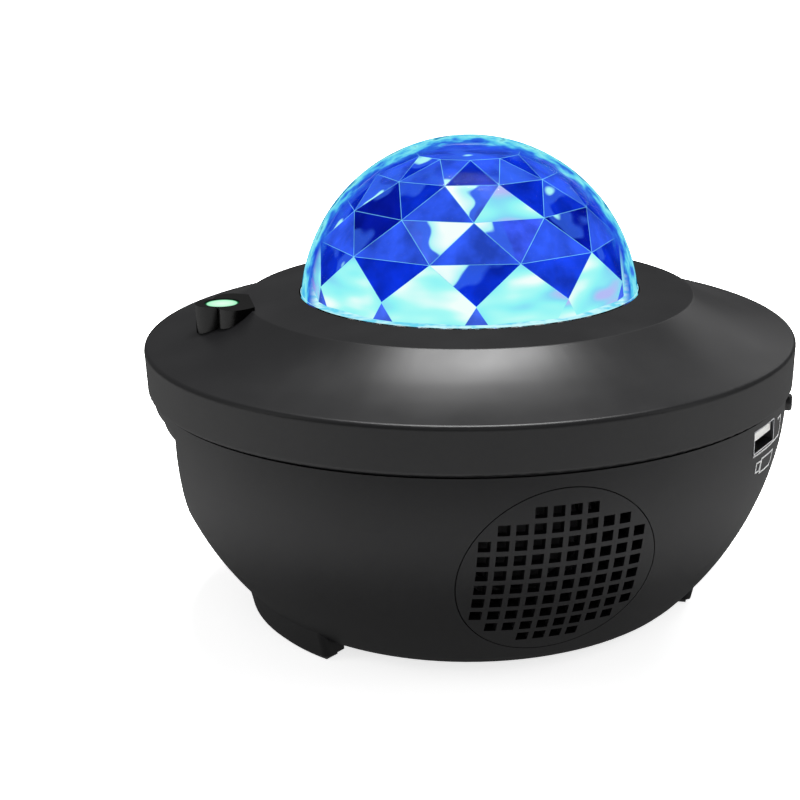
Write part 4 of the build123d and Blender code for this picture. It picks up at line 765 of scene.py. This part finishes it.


@dataclass
class Dome(SubAssembly):
    """Glowing dome: a smooth clear skin over a faceted inside that is lit from below. Lengths are in mm."""

    radius: float = 43.0                # of the outer skin
    centre: float = 77.5                # height of its sphere's middle
    flange_low: float = 77.0            # where the skin ends, inside the cover
    skin: float = 1.8                   # from the outside to the facets' corners
    corners: int = 11                   # in each ring
    turn: float = 2.2                   # degrees by which the rings are turned to the right
    latitudes: tuple[float, ...] = (12.7, 25.8, 41.0, 56.3, 71.0)       # of the rings, in degrees
    ring_reaches: tuple[float, ...] = (1.010, 1.013, 1.0, 1.0, 1.0)     # as shares of the inner radius
    skirt_latitude: float = 6.5         # of the corners at the base
    skirt_reach: float = 0.985
    notch: float = 4.1                  # degrees from the middle of a notch at the base to its corners
    edge_line: float = 0.13             # width of the painted line of light round each facet
    ripple_steps: tuple[float, float, float] = (0.031, 0.053, 0.019)    # metres, from facet to facet
    foot_inner: float = 38.0
    foot_inset: float = 0.05            # from the sphere's radius to the foot, which just shows at its height
    foot_height: float = 82.3
    arc_steps: int = 40
    round_steps: int = 128

    def corner(self, latitude: float, azimuth: float, share: float) -> Vector:
        """Place a corner of the facets.

        Args:
            latitude: Degrees above the sphere's middle.
            azimuth: Degrees to the right of the front.
            share: Its distance from the middle, as a share of the inner radius.

        Returns:
            The corner, in metres.
        """
        reach = (self.radius - self.skin) * share * MM
        level, around = math.radians(latitude), math.radians(azimuth)
        flat = reach * math.cos(level)
        return Vector((flat * math.sin(around), -flat * math.cos(around),
                       self.centre * MM + reach * math.sin(level)))

    def facets(self) -> bpy.types.Object:
        """Make the faceted inside as the convex hull of its corner rings.

        Returns:
            The finished piece.
        """
        mesh = bmesh.new()
        step = 360 / self.corners
        for level, latitude in enumerate(self.latitudes):
            for k in range(self.corners):
                place = self.turn + (k + level % 2 / 2) * step
                mesh.verts.new(self.corner(latitude, place, self.ring_reaches[level]))
        for k in range(self.corners):
            for side in (-1, 1):
                place = self.turn + k * step + side * self.notch
                mesh.verts.new(self.corner(self.skirt_latitude, place, self.skirt_reach))
        bmesh.ops.convex_hull(mesh, input=mesh.verts[:])
        bmesh.ops.dissolve_limit(mesh, angle_limit=math.radians(1.0), verts=mesh.verts[:],
                                 edges=mesh.edges[:])
        below = [face for face in mesh.faces if face.normal.z < -0.9]
        bmesh.ops.delete(mesh, geom=below, context="FACES")
        self.tone_facets(mesh)
        return emit_piece(mesh, "dome_facets", [LitFacets().material(), BrightFacets().material()],
                          smooth=False)

    def tone_facets(self, mesh: bmesh.types.BMesh) -> None:
        """Split each facet into a rim line and a middle, and write their tones.

        Args:
            mesh: The facets.
        """
        layers = [mesh.loops.layers.float_color.new(name) for name in ("tone", "shift", "gain")]
        for face in mesh.faces[:]:
            band, column = self.place_of(face)
            look = FRONT_LOOKS.get((band, column), OTHER_LOOKS[band][column % 2])
            bright = look.tone is Tone.ICE
            number = column if bright else self.corners * band.value + column
            rims = bmesh.ops.inset_individual(mesh, faces=[face], thickness=self.edge_line * MM)["faces"]
            for rim in rims:
                self.paint(rim, layers, look if bright else EDGE_LOOK, number)
            self.paint(face, layers, look, number)

    def place_of(self, face: bmesh.types.BMFace) -> tuple[Band, int]:
        """Find a facet's place on the dome.

        Args:
            face: The facet.

        Returns:
            Its row, and its column to the right of the front in half steps.
        """
        middle = face.calc_center_median()
        height = (middle.z / MM - self.centre) / (self.radius - self.skin)
        latitude = math.degrees(math.asin(max(-1.0, min(1.0, height))))
        azimuth = math.degrees(math.atan2(middle.x, -middle.y))
        column = round((azimuth - self.turn) / (180 / self.corners))
        return Band(sum(1 for ring in self.latitudes if ring < latitude)), column

    def paint(self, face: bmesh.types.BMFace, layers: Iterable[bmesh.types.BMLayerItem], look: FacetLook,
              number: int) -> None:
        """Write one face's tone, its pattern's shift and the boost at each of its corners.

        Args:
            face: A facet's rim or middle.
            layers: The tone, shift and gain layers.
            look: The facet's look.
            number: A number that differs from facet to facet.
        """
        tone, shift, gain = layers
        middle = face.calc_center_median()
        azimuth = math.atan2(middle.x, -middle.y)
        right = Vector((math.cos(azimuth), math.sin(azimuth), 0.0))
        up = face.normal.cross(right)
        reach = max((vert.co - middle).length for vert in face.verts)
        face.material_index = int(look.tone is Tone.ICE)
        for loop in face.loops:
            away = (loop.vert.co - middle) / reach
            boost = look.boost + look.lean[0] * away.dot(right) + look.lean[1] * away.dot(up)
            loop[tone] = linear(look.tone.value)
            loop[shift] = (*(step * number for step in self.ripple_steps), 1.0)
            loop[gain] = (boost, boost, boost, 1.0)

    def skin_piece(self) -> bpy.types.Object:
        """Spin the smooth outer skin down to its edge inside the cover.

        Returns:
            The finished piece.
        """
        low = math.asin((self.flange_low - self.centre) / self.radius)
        path = []
        for k in range(self.arc_steps + 1):
            angle = low + (math.pi / 2 - low) * k / self.arc_steps
            path.append((self.radius * math.cos(angle), self.centre + self.radius * math.sin(angle)))
        return emit_piece(spun(path, self.round_steps), "dome_skin", [DomeSkin().material()])

    def foot(self) -> bpy.types.Object:
        """Spin the lit foot between the facets and the skin, seen as a bright line round the base.

        Returns:
            The finished piece.
        """
        path = [(reach, self.foot_height) for reach in (self.foot_inner, self.radius - self.foot_inset)]
        mesh = spun(path, self.round_steps)
        bmesh.ops.reverse_faces(mesh, faces=[face for face in mesh.faces if face.normal.z < 0])
        light = SteadyGlow("lit_dome_foot", "c9fbff", "6fd9f4").material()
        return emit_piece(mesh, "dome_base_line", [light])

    def build(self) -> None:
        """Make the layers in place of the dome's CAD solid."""
        outer = self.skin_piece()
        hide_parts("dome_lens")
        for piece in (self.facets(), self.foot(), outer):
            # The dome's light goes up to the ceiling, so it neither lights the cover nor mirrors in it.
            piece.visible_diffuse = False
            piece.visible_glossy = False


@dataclass
class RimRound(SubAssembly):
    """Smooth skin over the small round of the rim, where a highlight shows each break in the solid's mesh."""

    edge: tuple[float, float] = (82.5, 71.3)    # radius and height of the rim before it is rounded, in mm
    radius: float = 1.2
    cove_slope: float = -10.3                   # degrees, where the shoulder meets the round
    band_slope: float = -92.0                   # and where the band does
    arc_steps: int = 12
    round_steps: int = 256

    def build(self) -> None:
        """Spin the round about the axis."""
        along = math.radians(self.cove_slope)
        half_turn = math.radians(self.cove_slope - self.band_slope) / 2
        back = self.radius * math.tan(half_turn)
        start = (self.edge[0] - back * math.cos(along), self.edge[1] - back * math.sin(along))
        centre = (start[0] + self.radius * math.sin(along), start[1] - self.radius * math.cos(along))
        path = []
        for k in range(self.arc_steps + 1):
            angle = math.pi / 2 + along - 2 * half_turn * k / self.arc_steps
            path.append((centre[0] + self.radius * math.cos(angle),
                         centre[1] + self.radius * math.sin(angle)))
        emit_piece(spun(path, self.round_steps), "rim_round", [material_of("cover")])


@dataclass
class PrintedMarks(SubAssembly):
    """White outlines printed on the bowl at the USB port: part of a frame round it, and a flash drive."""

    node: str = "lower_housing"
    radius: float = 79.0        # turns degrees into millimetres along the bowl
    line: float = 0.42          # width of a line, in mm
    film: float = 0.05          # thickness of the ink, in mm
    lift: float = 0.002         # mm between strips that cross, so that they don't share a surface
    outside: float = 0.2        # metres from the axis to where rays at the bowl start
    frame_corners: tuple[tuple[float, float], ...] = ((55.2, 51.3), (68.7, 51.3), (68.7, 56.4), (66.6, 56.4))
    drive_corners: tuple[tuple[float, float], ...] = ((59.4, 49.2), (59.8, 45.3), (65.2, 45.0), (65.7, 46.0),
                                                      (65.5, 48.9))
    plug_corners: tuple[tuple[float, float], ...] = ((57.2, 48.8), (57.5, 46.3), (59.2, 46.1), (59.2, 48.7))

    def flat(self, corner: tuple[float, float]) -> Vector:
        """Turn degrees and height in mm into a point of the unrolled bowl, in mm."""
        return Vector((math.radians(corner[0]) * self.radius, corner[1], 0.0))

    def stroke(self, mesh: bmesh.types.BMesh, start: Vector, end: Vector, lift: float) -> None:
        """Lay one straight strip in the unrolled plane, cut so that it can bend.

        Args:
            mesh: The drawing.
            start: Where the strip starts, in mm.
            end: Where it ends.
            lift: How far it lies above the plane.
        """
        run = end - start
        cuts = max(2, round(run.length))
        strip = bmesh.ops.create_grid(mesh, x_segments=cuts, y_segments=1, size=0.5)["verts"]
        bmesh.ops.scale(mesh, vec=(run.length + self.line, self.line, 1.0), verts=strip)
        turn = Matrix.Rotation(math.atan2(run.y, run.x), 3, "Z")
        bmesh.ops.rotate(mesh, cent=(0.0, 0.0, 0.0), matrix=turn, verts=strip)
        bmesh.ops.translate(mesh, vec=(start + end) / 2 + Vector((0.0, 0.0, lift)), verts=strip)

    def rolled(self, point: Vector, surface: BVHTree) -> Vector:
        """Roll a point of the unrolled plane onto the bowl.

        Args:
            point: The point, in mm.
            surface: The bowl.

        Returns:
            Its place in metres, half the film above the bowl.
        """
        around = point.x / self.radius
        out = Vector((math.sin(around), -math.cos(around), 0.0))
        start = out * self.outside + Vector((0.0, 0.0, point.y * MM))
        hit = surface.ray_cast(start, -out)[0]
        return hit + out * (self.film / 2 + point.z) * MM

    def outline(self, name: str, corners: tuple[tuple[float, float], ...], closed: bool,
                surface: BVHTree, ink: bpy.types.Material) -> None:
        """Draw an outline, roll it onto the bowl and give it its thickness.

        Args:
            name: Name of the piece.
            corners: Azimuth in degrees and height in mm of each corner.
            closed: Whether the last corner joins the first.
            surface: The bowl.
            ink: The outline's material.
        """
        mesh = bmesh.new()
        points = [self.flat(corner) for corner in corners]
        pairs = list(zip(points, points[1:])) + ([(points[-1], points[0])] if closed else [])
        for number, (start, end) in enumerate(pairs):
            self.stroke(mesh, start, end, self.lift * (number % 3))
        for vert in mesh.verts:
            vert.co = self.rolled(vert.co, surface)
        bmesh.ops.recalc_face_normals(mesh, faces=mesh.faces[:])
        bmesh.ops.solidify(mesh, geom=mesh.faces[:], thickness=self.film * MM)
        emit_piece(mesh, name, [ink], smooth=False)

    def build(self) -> None:
        """Print all three outlines."""
        bowl = bmesh.new()
        bowl.from_mesh(frame["nodes"][self.node].data)
        surface = BVHTree.FromBMesh(bowl)
        bowl.free()
        ink = PrintedInk().material()
        self.outline("port_frame_print", self.frame_corners, False, surface, ink)
        self.outline("drive_print", self.drive_corners, True, surface, ink)
        self.outline("drive_plug_print", self.plug_corners, True, surface, ink)


# ---------------------------------------------------------------- studio
@dataclass(frozen=True)
class Softbox:
    """One rectangular lamp.

    Attributes:
        name: Name of the lamp.
        place: Its centre, in metres.
        size: Width and height, in metres.
        watts: Power.
    """

    name: str
    place: tuple[float, float, float]
    size: tuple[float, float]
    watts: float


@dataclass
class Studio(SubAssembly):
    """Plain pale floor, soft lights and the camera. Lengths are in metres."""

    camera_place: tuple[float, float, float] = (0.0, -0.400, 0.1754)
    pitch_down: float = 17.17       # degrees
    roll: float = -0.54             # degrees
    focal_pixels: float = 1604.0
    principal_x: float = 470.5      # pixel column that the camera points at
    sensor_mm: float = 36.0
    clip_start: float = 0.01
    floor_reach: float = 6.0
    ambient: float = 0.25           # strength of the world's light on the object
    target: tuple[float, float, float] = (0.0, 0.0, 0.06)       # where the lamps point
    lamps: tuple[Softbox, ...] = (
        Softbox("overhead_softbox", (0.03, 0.14, 0.9), (0.46, 0.22), 23.0),
        Softbox("front_softbox", (0.1, -0.9, 0.6), (0.6, 0.4), 1.0),
        Softbox("left_softbox", (-0.9, -0.3, 0.45), (0.4, 0.7), 1.3),
        Softbox("right_softbox", (0.9, -0.3, 0.45), (0.4, 0.7), 1.6),
        Softbox("back_right_softbox", (0.65, 1.1, 0.6), (0.5, 0.4), 4.0),
    )

    def camera(self) -> None:
        """Create the camera and make it the scene's."""
        data = bpy.data.cameras.new("camera")
        data.sensor_width = self.sensor_mm
        data.lens = self.focal_pixels * self.sensor_mm / PICTURE_SIZE
        data.shift_x = (PICTURE_SIZE / 2 - self.principal_x) / PICTURE_SIZE
        data.clip_start = self.clip_start
        made = bpy.data.objects.new("camera", data)
        turn = Matrix.Rotation(math.radians(90 - self.pitch_down), 4, "X")
        turn = turn @ Matrix.Rotation(math.radians(self.roll), 4, "Z")
        made.matrix_world = Matrix.Translation(self.camera_place) @ turn
        bpy.context.scene.collection.objects.link(made)
        bpy.context.scene.camera = made

    def floor(self) -> None:
        """Lay a wide pale floor."""
        mesh = bmesh.new()
        bmesh.ops.create_grid(mesh, x_segments=2, y_segments=2, size=self.floor_reach)
        mesh_object(mesh, "floor", [PaleCard().material()])

    def sky(self) -> None:
        """White where the background is seen, dimmer as ambient light."""
        world = bpy.data.worlds.new("studio")
        bpy.context.scene.world = world
        world.use_nodes = True
        tree = world.node_tree
        tree.nodes.clear()
        soft = add_node(tree, "ShaderNodeBackground", {"Color": WHITE, "Strength": self.ambient})
        white = add_node(tree, "ShaderNodeBackground", {"Color": WHITE, "Strength": 1.0})
        mix = add_node(tree, "ShaderNodeMixShader", {0: background_rays(tree), 1: soft, 2: white})
        add_node(tree, "ShaderNodeOutputWorld", {"Surface": mix})

    def hang(self, lamp: Softbox) -> None:
        """Hang one softbox that faces the target.

        Args:
            lamp: The softbox.
        """
        data = bpy.data.lights.new(lamp.name, "AREA")
        data.shape = "RECTANGLE"
        data.size, data.size_y = lamp.size
        data.energy = lamp.watts
        made = bpy.data.objects.new(lamp.name, data)
        made.location = lamp.place
        made.rotation_euler = (Vector(self.target) - Vector(lamp.place)).to_track_quat("-Z", "Y").to_euler()
        bpy.context.scene.collection.objects.link(made)

    def build(self) -> None:
        """Set up the whole studio."""
        self.camera()
        self.floor()
        self.sky()
        for lamp in self.lamps:
            self.hang(lamp)
        bpy.context.scene.view_settings.view_transform = "Standard"


def main() -> None:
    """Build the looks in order."""
    parts: tuple[SubAssembly, ...] = (Studio(), CadFinishes(), RimRound(), PrintedMarks(), Dome())
    for part in parts:
        part.build()
        LOG.info("finished %s", type(part).__name__)


if __name__ == "__main__":
    main()
